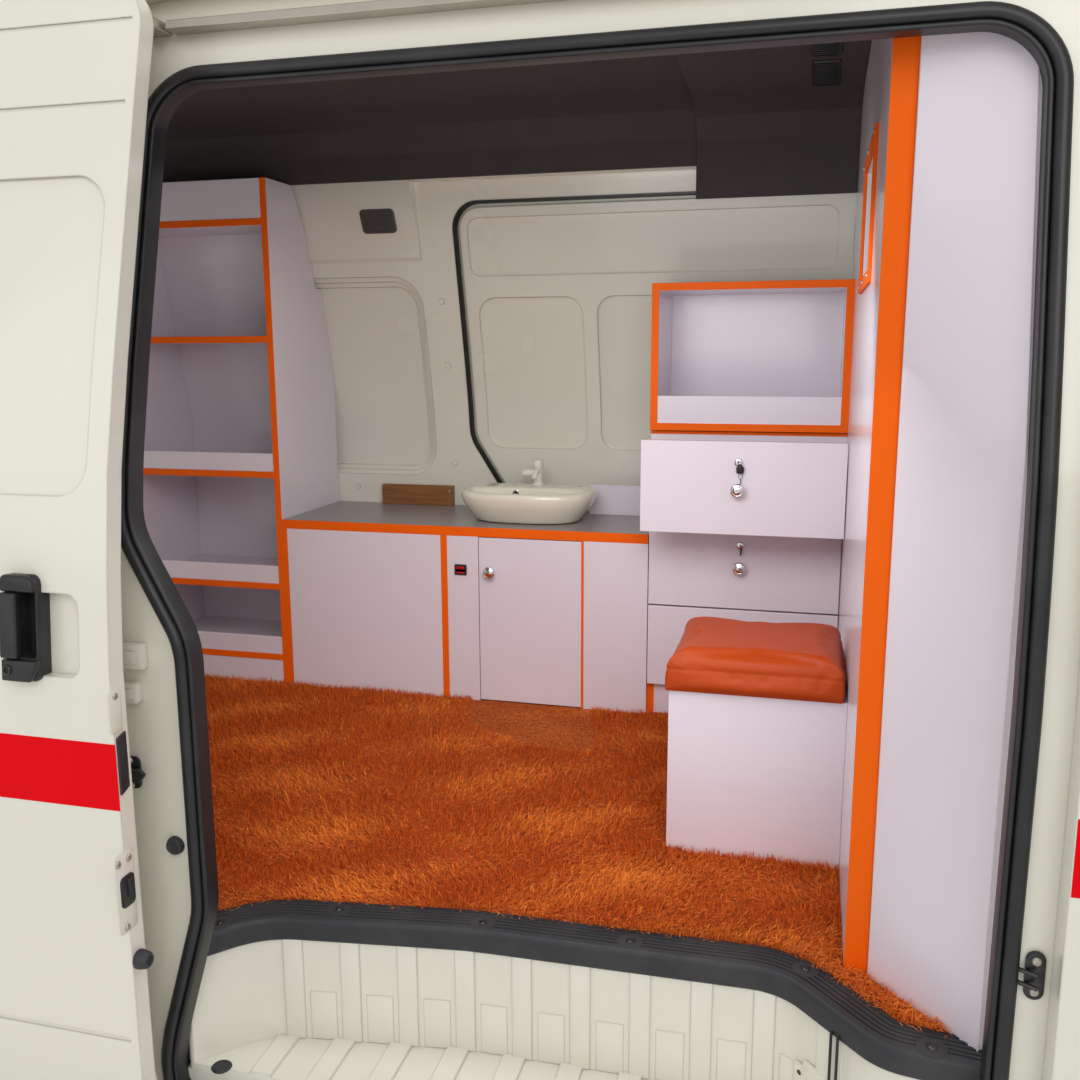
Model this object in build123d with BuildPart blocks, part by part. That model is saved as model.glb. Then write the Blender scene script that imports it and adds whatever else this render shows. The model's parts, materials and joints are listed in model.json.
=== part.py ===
"""Patient compartment of a high-roof ambulance van: body section, side doors and fitted interior.

X runs forward, Y to the vehicle's left, Z up; the origin is on the flat underside of the front
floor bearer, on the centreline, below the rear face of the partition. Millimetres.
"""
from build123d import *
from math import radians, sin, tan
import os

os.makedirs("parts", exist_ok=True)

# body section
REAR_X = -2480.0           # rear end of the section
FRONT_X = 330.0            # front end of the section
BODY_LENGTH = FRONT_X - REAR_X
BEARER_H = 60.0            # cross bearers under the sills
BEARER_W = 90.0
BEARER_X = (-2200.0, -1100.0, 0.0)
RAIL_Y = 400.0             # deep floor rails, half their spacing
RAIL_W = 60.0

SILL_HALF = 845.0          # outer half width at the sill
WAIST_HALF = 880.0         # and over the straight part of the side
WAIST_LOW = 260.0
WAIST_HIGH = 900.0
HEAD_HALF = 680.0          # and at the top of the door opening
HEAD_Z = 1880.0
# the side curves in from the waist to the head: shares of that height and of that way in
SIDE_CURVE = ((0.143, 0.058), (0.286, 0.149), (0.439, 0.308), (0.816, 0.76), (0.908, 0.875))
SEAM_HALF = 600.0          # roof seam, where the side meets the roof skin
SEAM_Z = 2030.0
# the shoulder rounds from the head to the seam: shares of the way in and of the rise
SHOULDER = tuple((HEAD_HALF - way * (HEAD_HALF - SEAM_HALF), HEAD_Z + rise * (SEAM_Z - HEAD_Z))
                 for way, rise in ((0.1, 0.33), (0.31, 0.67), (0.65, 0.89)))
ROOF_MID = (SEAM_HALF / 2, SEAM_Z + 48)
CROWN_Z = SEAM_Z + 62
ROOF_T = 12.0
WALL_T = 65.0              # whole side wall
POCKET_D = 45.0            # depth of the door pocket in it
LINER_Z = HEAD_Z - 85      # bottom of the side header on the inside
HEADER_W = 39.0            # the header stands in from the wall's inner face at its bottom

# door opening and the inner aperture, as X, Z, corner radius
OPEN_X = (-1160.0, 240.0)
OPEN_Z = (78.0, HEAD_Z - 10)
OPENING = ((OPEN_X[1], OPEN_Z[0], 30), (OPEN_X[1], OPEN_Z[1], 80),
           (OPEN_X[0], OPEN_Z[1], 90), (OPEN_X[0], OPEN_Z[0], 60))
APERTURE_TOP = HEAD_Z - 138
APERTURE = ((175, 114, 50), (184, APERTURE_TOP, 85), (-1066, APERTURE_TOP, 75),
            (-1066, 1085, 120), (-965, 915, 120), (-965, 480, 170), (-1050, 200, 140),
            (-1056, 114, 35))
SEAL_W = 24.0              # seal outboard of the aperture edge
SEAL_LIP = 6.0             # and lapping over the edge
SEAL_T = 14.0

# sliding doors
DOOR_GAP = 5.0
DOOR_FIT = 0.5             # behind a shut door
DOOR_RIM_T = POCKET_D - SEAL_T - DOOR_FIT   # rim of a door, over the seal
DOOR_T = 52.0              # whole door, inside the seal
DOOR_INSET = 16.0          # inner panel in from the aperture edge
DOOR_BACK = 1250.0         # the near door stands slid back
DOOR_OUT = 75.0            # and out by this much
BLANK_X = (-1100.0, 200.0)  # pressed window blank in the door skin
BLANK_Z = (1145.0, 1588.0)
BLANK_D = 6.0
PANEL_D = 12.0             # pressed recesses on the inside of a door
HANDLE_X = (70.0, 140.0)
HANDLE_Z = (882.0, 1036.0)
CUP_X = (60.0, 186.0)
CUP_Z = (890.0, 1010.0)
CUP_D = 18.0
# pressed lines along the sides
CREASES = ((326.0, 332.0), *((HEAD_Z - down, HEAD_Z - down + 4) for down in (194, 77)))
CREASE_D = 2.5
STRIPE_Z = (697.0, 797.0)
STRIPE_T = 0.6
RAIL_Z = (1022.0, 1062.0)  # centre door rail
RAIL_END_X = REAR_X + 60
TOP_RAIL_Z = (OPEN_Z[1] - 55, OPEN_Z[1] - 40)
CARRIAGE_X = (RAIL_END_X + 30, RAIL_END_X + 110)
TOP_ARM_X = (OPEN_X[0] + 72, OPEN_X[0] + 114)
TOP_ARM_Z = (TOP_RAIL_Z[0], TOP_RAIL_Z[1])
LOW_ARM_X = (OPEN_X[0] + 25, OPEN_X[0] + 62)
LOW_ARM_Z = (OPEN_Z[0] + 20, OPEN_Z[0] + 34)

STRIKER_X = (OPEN_X[1] - 30, OPEN_X[1] - 8)   # striker on the front pillar
STRIKER_Z = (532.0, 596.0)
STOP_X = -1012.0           # rubber stop and catch on the rear pillar
STOP_Z = 588.0
STOP_R = 15.0
HOOK_X = (-1090.0, -1064.0)
HOOK_Z = (676.0, 728.0)

# floor and step
FLOOR_Z = 385.0            # top of the floor pan
FLOOR_T = 25.0
CARPET_T = 15.0
CARPET_Z = FLOOR_Z + CARPET_T
STEP_Z = 175.0             # top of the step
STEP_T = 10.0
WELL_T = 8.0
RIB_PITCH = 98.0
RIB_W = 38.0
RIB_H = 5.0
STRIP_W = 56.0
STRIP_T = 18.0
GROOVES = 5                # grooves along the strip's top, between ribs
GROOVE_IN = 8.0
GROOVE_PITCH = 9.0
GROOVE_W = 4.0
GROOVE_D = 2.5
NOSE_T = 9.0
NOSE_H = 22.0
# plan of the floor edge over the step, as X, distance in from the waist's skin, radius
EDGE_PLAN = ((-1075, 35, 0), (-948, 180, 150), (-600, 228, 600), (-92, 238, 110),
             (46, 94, 90), (190, 74, 0))
EDGE = tuple((x, WAIST_HALF - y, r) for x, y, r in EDGE_PLAN)

# interior
PART_T = 35.0              # partition
PART_IN = 33.2             # partition's free edge, in from the wall at its top
PART_TOP = LINER_Z - 45
EDGING_T = 2.0
FIT = 2.0                  # gap between fitted boards and the body
HATCH_Y = (-330.0, 10.0)
HATCH_Z = (1470.0, 1670.0)
HATCH_FRAME = 22.0
BOARD = 18.0
UNIT_D = 350.0             # depth of the furniture
BACK_GAP = 0.8             # between the drawer column's top and the wall
SHELF_X = (-2010.0, -1505.0)
SHELF_Z = (470.0, 677.0, 995.0, 1365.0, LINER_Z - 122)   # undersides of the shelves
LIP_H = 50.0
LIP_T = 8.0
BASE_X = (-1505.0, -475.0)
WORKTOP_Z = 880.0
WORKTOP_T = 25.0
DIVIDER_X = -1037.0
SWITCH_X = (-1019.0, -931.0)
FIRST_STILE_W = 14.0       # edged stile beside the shelf unit
STILE_X = (-649.0, -643.0)  # stile that the cupboard door hangs on
HINGE_FIT = 0.3            # running gap at the hinge edge
REVEAL = 2.0
COLUMN_X = (-475.0, 0.0)
COLUMN_TOP = 1135.0
DRAWER_Z = ((914.0, 1133.0), (699.0, 910.0), (485.0, 695.0))
DRAWER_OPEN = 150.0        # the top drawer stands open
DRAWER_D = 300.0
DRAWER_SIDE = 12.0
RUNNER_T = 10.0
RUNNER_H = 28.0
TOP_BOX_Z = (1145.0, 1502.0)
BENCH_X = (-320.0, 0.0)
BENCH_Y = (-295.0, 0.0)
BENCH_Z = 720.0
BENCH_WALL = 16.0
CUSHION_H = 78.0
CUSHION_OVER = 14.0
CUSHION_CROWN = 32.0
BASIN_X = -835.0           # centre of the basin on the worktop
BASIN_IN = 160.0           # and its way in from the front plane
BASIN_SIZE = (370.0, 250.0)
BASIN_H = 85.0
KNOB_R = 16.5


# helpers
def rounded_outline(corners):
    """Closed outline through (x, y, radius) corners, in the current line."""
    points = [Vector(x, y) for x, y, _ in corners]
    arcs = []
    for i, (_, _, r) in enumerate(corners):
        here = points[i]
        to_last = (points[i - 1] - here).normalized()
        to_next = (points[(i + 1) % len(points)] - here).normalized()
        if r == 0:
            arcs.append((here, None, here))
            continue
        half = radians(to_last.get_angle(to_next) / 2)
        inward = (to_last + to_next).normalized()
        arcs.append((here + to_last * (r / tan(half)),
                     here + inward * (r / sin(half) - r),
                     here + to_next * (r / tan(half))))
    for i, (start, middle, end) in enumerate(arcs):
        if middle is not None:
            ThreePointArc(start, middle, end)
        Line(end, arcs[(i + 1) % len(arcs)][0])


def side_line(inset):
    """Half width and height of the side, from the sill up, a distance in from the skin."""
    curve = [(WAIST_HALF - inset - way * (WAIST_HALF - HEAD_HALF),
              WAIST_HIGH + rise * (HEAD_Z - WAIST_HIGH)) for rise, way in SIDE_CURVE]
    return [(SILL_HALF - inset, BEARER_H), (WAIST_HALF - inset, WAIST_LOW),
            (WAIST_HALF - inset, WAIST_HIGH), *curve, (HEAD_HALF - inset, HEAD_Z)]


def half_width(z, inset):
    """Half width of the side at one height."""
    line = side_line(inset)
    for (y0, z0), (y1, z1) in zip(line, line[1:]):
        if z <= z1:
            return y0 + (y1 - y0) * (z - z0) / (z1 - z0)
    return line[-1][0]


def wall_layer(outer, inner, outline):
    """Solid of the near side between two insets from the skin, cut to an X, Z outline."""
    with BuildPart() as layer:
        with BuildSketch(Plane.YZ.offset(REAR_X - 100)):
            with BuildLine():
                Polyline(*[(-y, z) for y, z in side_line(outer) + side_line(inner)[::-1]],
                         close=True)
            make_face()
        extrude(amount=BODY_LENGTH + 200)
        with BuildSketch(Plane.XZ):
            with BuildLine():
                rounded_outline(outline)
            make_face()
        extrude(amount=2 * WAIST_HALF, mode=Mode.INTERSECT)
    return layer.part


def box_outline(x, z, r=0):
    """Rectangular X, Z outline with one corner radius."""
    return ((x[0], z[0], r), (x[1], z[0], r), (x[1], z[1], r), (x[0], z[1], r))


def block(x, y, z, mode=Mode.ADD):
    """Box between low and high X, Y and Z, in the current part."""
    with Locations(((x[0] + x[1]) / 2, (y[0] + y[1]) / 2, (z[0] + z[1]) / 2)):
        Box(x[1] - x[0], y[1] - y[0], z[1] - z[0], mode=mode)


def edge_plan(shift):
    """Plan corners of the floor edge over the step, moved out from the centreline."""
    return [(x, -(y + shift), r) for x, y, r in EDGE]


def step_region(shift, z, height):
    """Solid over the step, outboard of the floor edge moved by a shift."""
    corners = edge_plan(shift)
    with BuildPart() as region:
        with BuildSketch(Plane.XY.offset(z)):
            with BuildLine():
                rounded_outline(corners + [(corners[-1][0], -1000, 0), (corners[0][0], -1000, 0)])
            make_face()
        extrude(amount=height)
    return region.part


def height_at(y, inset):
    """Height above the waist at which the side has come in to a half width."""
    line = side_line(inset)[2:]
    for (y0, z0), (y1, z1) in zip(line, line[1:]):
        if y >= y1:
            return z0 + (z1 - z0) * (y0 - y) / (y0 - y1)
    return line[-1][1]


# free edge of the partition, and planes of the furniture, set by the walls beside them
PART_EDGE_Y = PART_IN - half_width(PART_TOP, WALL_T)
BACK_Y = half_width(COLUMN_TOP, WALL_T + BACK_GAP)
FRONT_Y = BACK_Y - UNIT_D
TOP_BOX_BACK = half_width(TOP_BOX_Z[1], WALL_T + 6)
BASIN = (BASIN_X, FRONT_Y + BASIN_IN)

# floor
STEP_OUT = half_width(STEP_Z - STEP_T, WALL_T)     # the step ends at the wall's inner face
LINER_IN = half_width(FLOOR_Z, WALL_T)

with BuildPart() as floor_frame:
    for x in BEARER_X:
        block((x - BEARER_W / 2, x + BEARER_W / 2), (-SILL_HALF, SILL_HALF), (0, BEARER_H))
    for side in (-1, 1):
        y0, y1 = sorted((side * RAIL_Y, side * (RAIL_Y + RAIL_W)))
        block((REAR_X, FRONT_X), (y0, y1), (BEARER_H, FLOOR_Z - FLOOR_T))
floor_frame.part.label = "floor_frame"
export_step(floor_frame.part, "parts/floor_frame.step")

with BuildPart() as floor_pan:
    block((REAR_X, FRONT_X), (-LINER_IN, LINER_IN), (FLOOR_Z - FLOOR_T, FLOOR_Z))
    add(step_region(0, FLOOR_Z - FLOOR_T, FLOOR_T), mode=Mode.SUBTRACT)
floor_pan.part.label = "floor_pan"
export_step(floor_pan.part, "parts/floor_pan.step")

WELL_X = (EDGE[0][0], EDGE[-1][0])
with BuildPart() as step_well:
    add(step_region(-WELL_T, STEP_Z - STEP_T, FLOOR_Z - FLOOR_T - STEP_Z + STEP_T))
    add(step_region(0, STEP_Z, FLOOR_Z), mode=Mode.SUBTRACT)
    block(WELL_X, (-1100, -STEP_OUT), (0, FLOOR_Z), mode=Mode.SUBTRACT)
    with BuildSketch(Plane.YZ.offset(WELL_X[0])):
        low = OPENING[0][1] + 20
        with BuildLine():
            Polyline((-half_width(low, WALL_T), low), (-STEP_OUT, STEP_Z - STEP_T),
                     (-STEP_OUT + STEP_T, STEP_Z - STEP_T),
                     (-half_width(low, WALL_T) + STEP_T, low), close=True)
        make_face()
    extrude(amount=WELL_X[1] - WELL_X[0])
    # raised ribs up the riser and on across the step
    with BuildSketch(Plane.XY.offset(STEP_Z)):
        with Locations(((WELL_X[0] + WELL_X[1]) / 2 + 20, -STEP_OUT / 2)):
            with GridLocations(RIB_PITCH, 1, 11, 1):
                Rectangle(RIB_W, STEP_OUT)
    rib_slabs = extrude(amount=RIB_H, mode=Mode.PRIVATE)
    add(rib_slabs & step_region(-1, STEP_Z, RIB_H))
step_well.part.label = "step_well"
export_step(step_well.part, "parts/step_well.step")

with BuildPart() as carpet:
    block((SHELF_X[0], EDGE[-1][0] - 15), (-LINER_IN + FIT, LINER_IN - FIT), (FLOOR_Z, CARPET_Z))
    add(step_region(-STRIP_W, FLOOR_Z, CARPET_T), mode=Mode.SUBTRACT)
carpet.part.label = "carpet"
export_step(carpet.part, "parts/carpet.step")

with BuildPart() as tread_strip:
    add(step_region(-STRIP_W, FLOOR_Z, STRIP_T))
    add(step_region(NOSE_T, FLOOR_Z - 10, 2 * STRIP_T + 10), mode=Mode.SUBTRACT)
    nose = step_region(0, FLOOR_Z - NOSE_H, NOSE_H + STRIP_T / 2) \
        - step_region(NOSE_T, FLOOR_Z - NOSE_H - 10, 2 * NOSE_H + 40)
    add(nose)
    for edge_x in (EDGE[0][0] - 1, EDGE[-1][0] - 14):
        block((edge_x, edge_x + 15), (-1000, 0), (FLOOR_Z - NOSE_H - 5, FLOOR_Z + 50),
              mode=Mode.SUBTRACT)
    block((EDGE[0][0], EDGE[-1][0]), (-1100, -half_width(FLOOR_Z, WALL_T)),
          (0, FLOOR_Z + 50), mode=Mode.SUBTRACT)
    # grooves along the top leave ribs between them
    for k in range(GROOVES):
        start = GROOVE_IN + k * GROOVE_PITCH
        add(step_region(-start - GROOVE_W, FLOOR_Z + STRIP_T - GROOVE_D, STRIP_T)
            - step_region(-start, FLOOR_Z, 3 * STRIP_T), mode=Mode.SUBTRACT)
tread_strip.part.label = "tread_strip"
export_step(tread_strip.part, "parts/tread_strip.step")

# sides and roof
RAISED_X = (REAR_X, -1165.0)         # raised plate inside the rear quarter
# its foot, the top of the foot's slope, and its bend
PLATE_Z = (LINER_Z - 207, LINER_Z - 195, LINER_Z - 135)
PLATE_T = 9.0
INNER_LINE = [(y, z) for y, z in side_line(WALL_T) if z < LINER_Z] \
    + [(half_width(LINER_Z, WALL_T), LINER_Z)]
LINER_HALF = INNER_LINE[-1][0] - HEADER_W
RAISED = ((half_width(PLATE_Z[0], WALL_T - 1), PLATE_Z[0]),
          (half_width(PLATE_Z[1], WALL_T + PLATE_T), PLATE_Z[1]),
          (half_width(PLATE_Z[2], WALL_T + PLATE_T), PLATE_Z[2]), (LINER_HALF, LINER_Z),
          (half_width(LINER_Z, WALL_T - 1), LINER_Z))
WALL_SECTION = side_line(0) + list(SHOULDER) \
    + [(SEAM_HALF, SEAM_Z), (SEAM_HALF, SEAM_Z - ROOF_T), (LINER_HALF, SEAM_Z - 2 * ROOF_T),
       (LINER_HALF, LINER_Z)] \
    + INNER_LINE[::-1]
QUARTER_D = 38.0                     # pressed recess inside the rear quarter
QUARTER_STEP = 13.0                  # its sides go in by three steps of this width
QUARTER_X = (REAR_X + 80, OPEN_X[0] - 16)
QUARTER_Z = (968.0, PLATE_Z[0] - 38)

with BuildPart() as near_side:
    with BuildSketch(Plane.YZ.offset(REAR_X)):
        with BuildLine():
            Polyline(*[(-y, z) for y, z in WALL_SECTION], close=True)
        make_face()
    extrude(amount=BODY_LENGTH)
    with BuildSketch(Plane.YZ.offset(RAISED_X[0])):
        with BuildLine():
            Polyline(*[(-y, z) for y, z in RAISED], close=True)
        make_face()
    extrude(amount=RAISED_X[1] - RAISED_X[0])
    add(wall_layer(-100, POCKET_D, OPENING), mode=Mode.SUBTRACT)
    with BuildSketch(Plane.XZ):
        with BuildLine():
            rounded_outline(APERTURE)
        make_face()
    extrude(amount=2 * WAIST_HALF, mode=Mode.SUBTRACT)
    # groove of the centre door rail, the pressed lines, and the recess inside the rear quarter
    add(wall_layer(-20, 24, box_outline((RAIL_END_X, OPEN_X[0] + 60), RAIL_Z)), mode=Mode.SUBTRACT)
    for z in CREASES:
        for x in ((REAR_X - 9, OPEN_X[0] - 12), (OPEN_X[1] + 12, FRONT_X + 9)):
            add(wall_layer(-20, CREASE_D, box_outline(x, z)), mode=Mode.SUBTRACT)
    for step in (0, 1, 2):
        x, z = ((low + step * QUARTER_STEP, high - step * QUARTER_STEP)
                for low, high in (QUARTER_X, QUARTER_Z))
        add(wall_layer(WALL_T - QUARTER_D * (step + 1) / 3, WALL_T + 30,
                       box_outline(x, z, 90 - step * QUARTER_STEP)), mode=Mode.SUBTRACT)
near_side.part.label = "near_side"
export_step(near_side.part, "parts/near_side.step")

with BuildPart() as far_side:
    mirror(near_side.part, about=Plane.XZ)
far_side.part.label = "far_side"
export_step(far_side.part, "parts/far_side.step")

with BuildPart() as roof_skin:
    with BuildSketch(Plane.YZ.offset(REAR_X)):
        with BuildLine():
            top = [(-SEAM_HALF, SEAM_Z), (-ROOF_MID[0], ROOF_MID[1]), (0, CROWN_Z),
                   (ROOF_MID[0], ROOF_MID[1]), (SEAM_HALF, SEAM_Z)]
            Polyline(*top, *[(y, z - ROOF_T) for y, z in top[::-1]], close=True)
        make_face()
    extrude(amount=BODY_LENGTH)
roof_skin.part.label = "roof_skin"
export_step(roof_skin.part, "parts/roof_skin.step")

# sliding doors
DOOR = box_outline((OPEN_X[0] + DOOR_GAP, OPEN_X[1] - DOOR_GAP),
                   (OPEN_Z[0] + DOOR_GAP, OPEN_Z[1] - DOOR_GAP), 75)
with BuildPart() as door_shape:
    add(wall_layer(0, DOOR_RIM_T, DOOR))
    with BuildSketch(Plane.XZ):
        with BuildLine():
            rounded_outline(APERTURE)
        make_face()
        offset(amount=-DOOR_INSET, mode=Mode.REPLACE)
    inner_prism = extrude(amount=2 * WAIST_HALF, mode=Mode.PRIVATE)
    add(inner_prism & wall_layer(DOOR_RIM_T, DOOR_T, DOOR))
    add(wall_layer(-20, BLANK_D, box_outline(BLANK_X, BLANK_Z, 50)), mode=Mode.SUBTRACT)
    add(wall_layer(-20, CUP_D, box_outline(CUP_X, CUP_Z, 20)), mode=Mode.SUBTRACT)
    for z in CREASES:
        add(wall_layer(-20, CREASE_D, box_outline((OPEN_X[0] + 25, OPEN_X[1] - 20), z)),
            mode=Mode.SUBTRACT)
    for x in ((-1030.0, -40.0), (0.0, 140.0)):
        add(wall_layer(DOOR_T - PANEL_D, 100, box_outline(x, (APERTURE_TOP - 196, APERTURE_TOP - 42), 30)),
            mode=Mode.SUBTRACT)
    for x in ((-1015.0, -713.0), (-673.0, -40.0), (0.0, 140.0)):
        add(wall_layer(DOOR_T - PANEL_D, 100, box_outline(x, (1056, 1488), 50)),
            mode=Mode.SUBTRACT)
    add(wall_layer(DOOR_T - PANEL_D, 100, box_outline((-930, 130), (250, 900), 60)),
        mode=Mode.SUBTRACT)

with BuildPart() as far_door:
    mirror(door_shape.part, about=Plane.XZ)
far_door.part.label = "far_door"
export_step(far_door.part, "parts/far_door.step")

with BuildPart() as near_door:
    add(door_shape.part.moved(Location((-DOOR_BACK, -DOOR_OUT, 0))))
near_door.part.label = "near_door"
export_step(near_door.part, "parts/near_door.step")

with BuildPart() as handle_shape:
    add(wall_layer(-22, -8, box_outline(HANDLE_X, HANDLE_Z, 12)))
    for z in ((CUP_Z[0] + 5, CUP_Z[0] + 35), (CUP_Z[1] - 30, CUP_Z[1] - 5)):
        add(wall_layer(-10, CUP_D, box_outline((HANDLE_X[0] + 8, HANDLE_X[1] - 8), z)))
    add(wall_layer(CUP_D - 3, CUP_D, box_outline((CUP_X[0] + 2, CUP_X[1] - 2),
                                                 (CUP_Z[0] + 2, CUP_Z[1] - 2), 18)))
with BuildPart() as door_handles:
    add(handle_shape.part.moved(Location((-DOOR_BACK, -DOOR_OUT, 0))))
    mirror(handle_shape.part, about=Plane.XZ)
door_handles.part.label = "door_handles"
export_step(door_handles.part, "parts/door_handles.step")

with BuildPart() as near_rails:
    add(wall_layer(2, 24, box_outline((RAIL_END_X, OPEN_X[0] + 60), RAIL_Z)))
    add(wall_layer(0, 18, box_outline((RAIL_END_X - 10, OPEN_X[0] + 80),
                                      (RAIL_Z[0] + 9, RAIL_Z[1] - 9))), mode=Mode.SUBTRACT)
    add(wall_layer(14, POCKET_D, box_outline((OPEN_X[0] + 120, OPEN_X[1] - 40), TOP_RAIL_Z)))
with BuildPart() as door_rails:
    add(near_rails.part)
    mirror(wall_layer(2, 24, box_outline((RAIL_END_X, OPEN_X[0] - 5), RAIL_Z)), about=Plane.XZ)
door_rails.part.label = "door_rails"
export_step(door_rails.part, "parts/door_rails.step")

# the open door hangs on a centre carriage and an upper and a lower arm
DOOR_INNER = DOOR_RIM_T - DOOR_OUT
with BuildPart() as door_carriages:
    add(wall_layer(DOOR_INNER, 18, box_outline(CARRIAGE_X, (RAIL_Z[0] + 12, RAIL_Z[1] - 12))))
    add(wall_layer(DOOR_INNER, POCKET_D, box_outline(TOP_ARM_X, TOP_ARM_Z)))
    add(wall_layer(DOOR_INNER, POCKET_D, box_outline(LOW_ARM_X, LOW_ARM_Z)))
door_carriages.part.label = "door_carriages"
export_step(door_carriages.part, "parts/door_carriages.step")

with BuildPart() as striker_stops:
    add(wall_layer(38, POCKET_D, box_outline(STRIKER_X, STRIKER_Z, 9)))
    add(wall_layer(16, POCKET_D, box_outline((STRIKER_X[0] + 4, STRIKER_X[1] - 10),
                                             (STRIKER_Z[0] + 22, STRIKER_Z[1] - 22))))
    add(wall_layer(34, POCKET_D, box_outline((STOP_X - STOP_R, STOP_X + STOP_R),
                                             (STOP_Z - STOP_R, STOP_Z + STOP_R), STOP_R - 0.5)))
    add(wall_layer(20, POCKET_D, box_outline(HOOK_X, HOOK_Z, 6)))
striker_stops.part.label = "striker_stops"
export_step(striker_stops.part, "parts/striker_stops.step")

SEAL_BOX = box_outline(OPEN_X, (OPEN_Z[0], HEAD_Z))
with BuildPart() as near_seal:
    for grow, layer in ((SEAL_W, wall_layer(POCKET_D - SEAL_T, POCKET_D, SEAL_BOX)),
                        (0, wall_layer(POCKET_D, WALL_T, SEAL_BOX))):
        with BuildSketch(Plane.XZ) as ring:
            with BuildLine():
                rounded_outline(APERTURE)
            make_face()
            if grow:
                offset(amount=grow)
            with BuildSketch(Plane.XZ, mode=Mode.PRIVATE) as lip:
                with BuildLine():
                    rounded_outline(APERTURE)
                make_face()
                offset(amount=-SEAL_LIP)
            add(lip.sketch, mode=Mode.SUBTRACT)
        add(extrude(amount=2 * WAIST_HALF, mode=Mode.PRIVATE) & layer)
near_seal.part.label = "near_seal"
export_step(near_seal.part, "parts/near_seal.step")

with BuildPart() as far_seal:
    mirror(near_seal.part, about=Plane.XZ)
far_seal.part.label = "far_seal"
export_step(far_seal.part, "parts/far_seal.step")

with BuildPart() as side_stripes:
    for x in ((OPEN_X[1] + 2, FRONT_X), (REAR_X, OPEN_X[0] - 2)):
        add(wall_layer(-STRIPE_T, 0, box_outline(x, STRIPE_Z)))
    door_stripe = wall_layer(-STRIPE_T, 0, box_outline((OPEN_X[0] + DOOR_GAP, OPEN_X[1] - DOOR_GAP),
                                                       STRIPE_Z))
    add(door_stripe.moved(Location((-DOOR_BACK, -DOOR_OUT, 0))))
    mirror(wall_layer(-STRIPE_T, 0, box_outline((OPEN_X[1] + 2, FRONT_X), STRIPE_Z))
           + wall_layer(-STRIPE_T, 0, box_outline((REAR_X, OPEN_X[0] - 2), STRIPE_Z))
           + door_stripe, about=Plane.XZ)
side_stripes.part.label = "side_stripes"
export_step(side_stripes.part, "parts/side_stripes.step")

# lining and end frames
LINER_OUT = ((LINER_HALF, LINER_Z), (LINER_HALF, LINER_Z + 75), (LINER_HALF - 40, LINER_Z + 140),
             (LINER_HALF - 135, LINER_Z + 170), (0.0, LINER_Z + 185))
LINER_INNER = ((LINER_HALF - 13, LINER_Z), (LINER_HALF - 15, LINER_Z + 65),
               (LINER_HALF - 55, LINER_Z + 125), (LINER_HALF - 140, LINER_Z + 155),
               (0.0, LINER_Z + 170))
FRONT_LINER_X = -390.0               # the lining drops to a lower front part here
FRONT_INNER = ((0.0, LINER_Z + 150), (LINER_HALF - 145, LINER_Z + 135),
               (LINER_HALF - 60, LINER_Z + 105), (LINER_HALF - 22, LINER_Z + 55),
               (LINER_HALF - 15, LINER_Z - 80))
REAR_FRAME = 45.0


def both_sides(half):
    """Half profile of (half width, height) points, joined to its mirror image."""
    return [(-y, z) for y, z in half] + [(y, z) for y, z in half[::-1] if y != 0]


with BuildPart() as headliner:
    with BuildSketch(Plane.YZ.offset(REAR_X + REAR_FRAME)):
        with BuildLine():
            Polyline(*both_sides(LINER_OUT), *both_sides(LINER_INNER)[::-1], close=True)
        make_face()
    extrude(amount=FRONT_LINER_X - REAR_X - REAR_FRAME)
headliner.part.label = "headliner"
export_step(headliner.part, "parts/headliner.step")

with BuildPart() as headliner_front:
    with BuildSketch(Plane.YZ.offset(FRONT_LINER_X)):
        with BuildLine():
            Polyline(*both_sides(LINER_OUT)[:-1], (LINER_HALF, LINER_Z - 80), *FRONT_INNER[::-1],
                     *[(-y, z) for y, z in FRONT_INNER[1:-1]], (-LINER_HALF + 13, LINER_Z),
                     close=True)
        make_face()
    extrude(amount=-FRONT_LINER_X)
headliner_front.part.label = "headliner_front"
export_step(headliner_front.part, "parts/headliner_front.step")

VENT_T = 6.0
VENT_X = -1327.0                     # inlet in the raised plate of the far side
VENT_W = 104.0
VENT_Z = (LINER_Z - 131, LINER_Z - 65)
with BuildPart() as roof_vents:
    for y0, y1 in ((LINER_HALF - 575, LINER_HALF - 395), (LINER_HALF - 355, LINER_HALF - 175)):
        slope = (FRONT_INNER[0][1] - FRONT_INNER[1][1]) / FRONT_INNER[1][0]
        z0, z1 = FRONT_INNER[0][1] - slope * y0, FRONT_INNER[0][1] - slope * y1
        with BuildSketch(Plane.YZ.offset(-115)):
            with BuildLine():
                Polyline((y0, z0), (y1, z1), (y1, z1 - VENT_T), (y0, z0 - VENT_T), close=True)
            make_face()
    extrude(amount=60)
roof_vents.part.label = "roof_vents"
export_step(roof_vents.part, "parts/roof_vents.step")

with BuildPart() as side_vents:
    with BuildSketch(Plane.YZ.offset(VENT_X)):
        (y0, z0), (y1, z1) = RAISED[2], RAISED[3]
        face = [(y0 + (y1 - y0) * (z - z0) / (z1 - z0), z) for z in VENT_Z]
        with BuildLine():
            Polyline(*face, (face[1][0] - 4, face[1][1] - 2), (face[0][0] - 4, face[0][1] - 2),
                     close=True)
        make_face()
    extrude(amount=VENT_W)
side_vents.part.label = "side_vents"
export_step(side_vents.part, "parts/side_vents.step")

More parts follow.
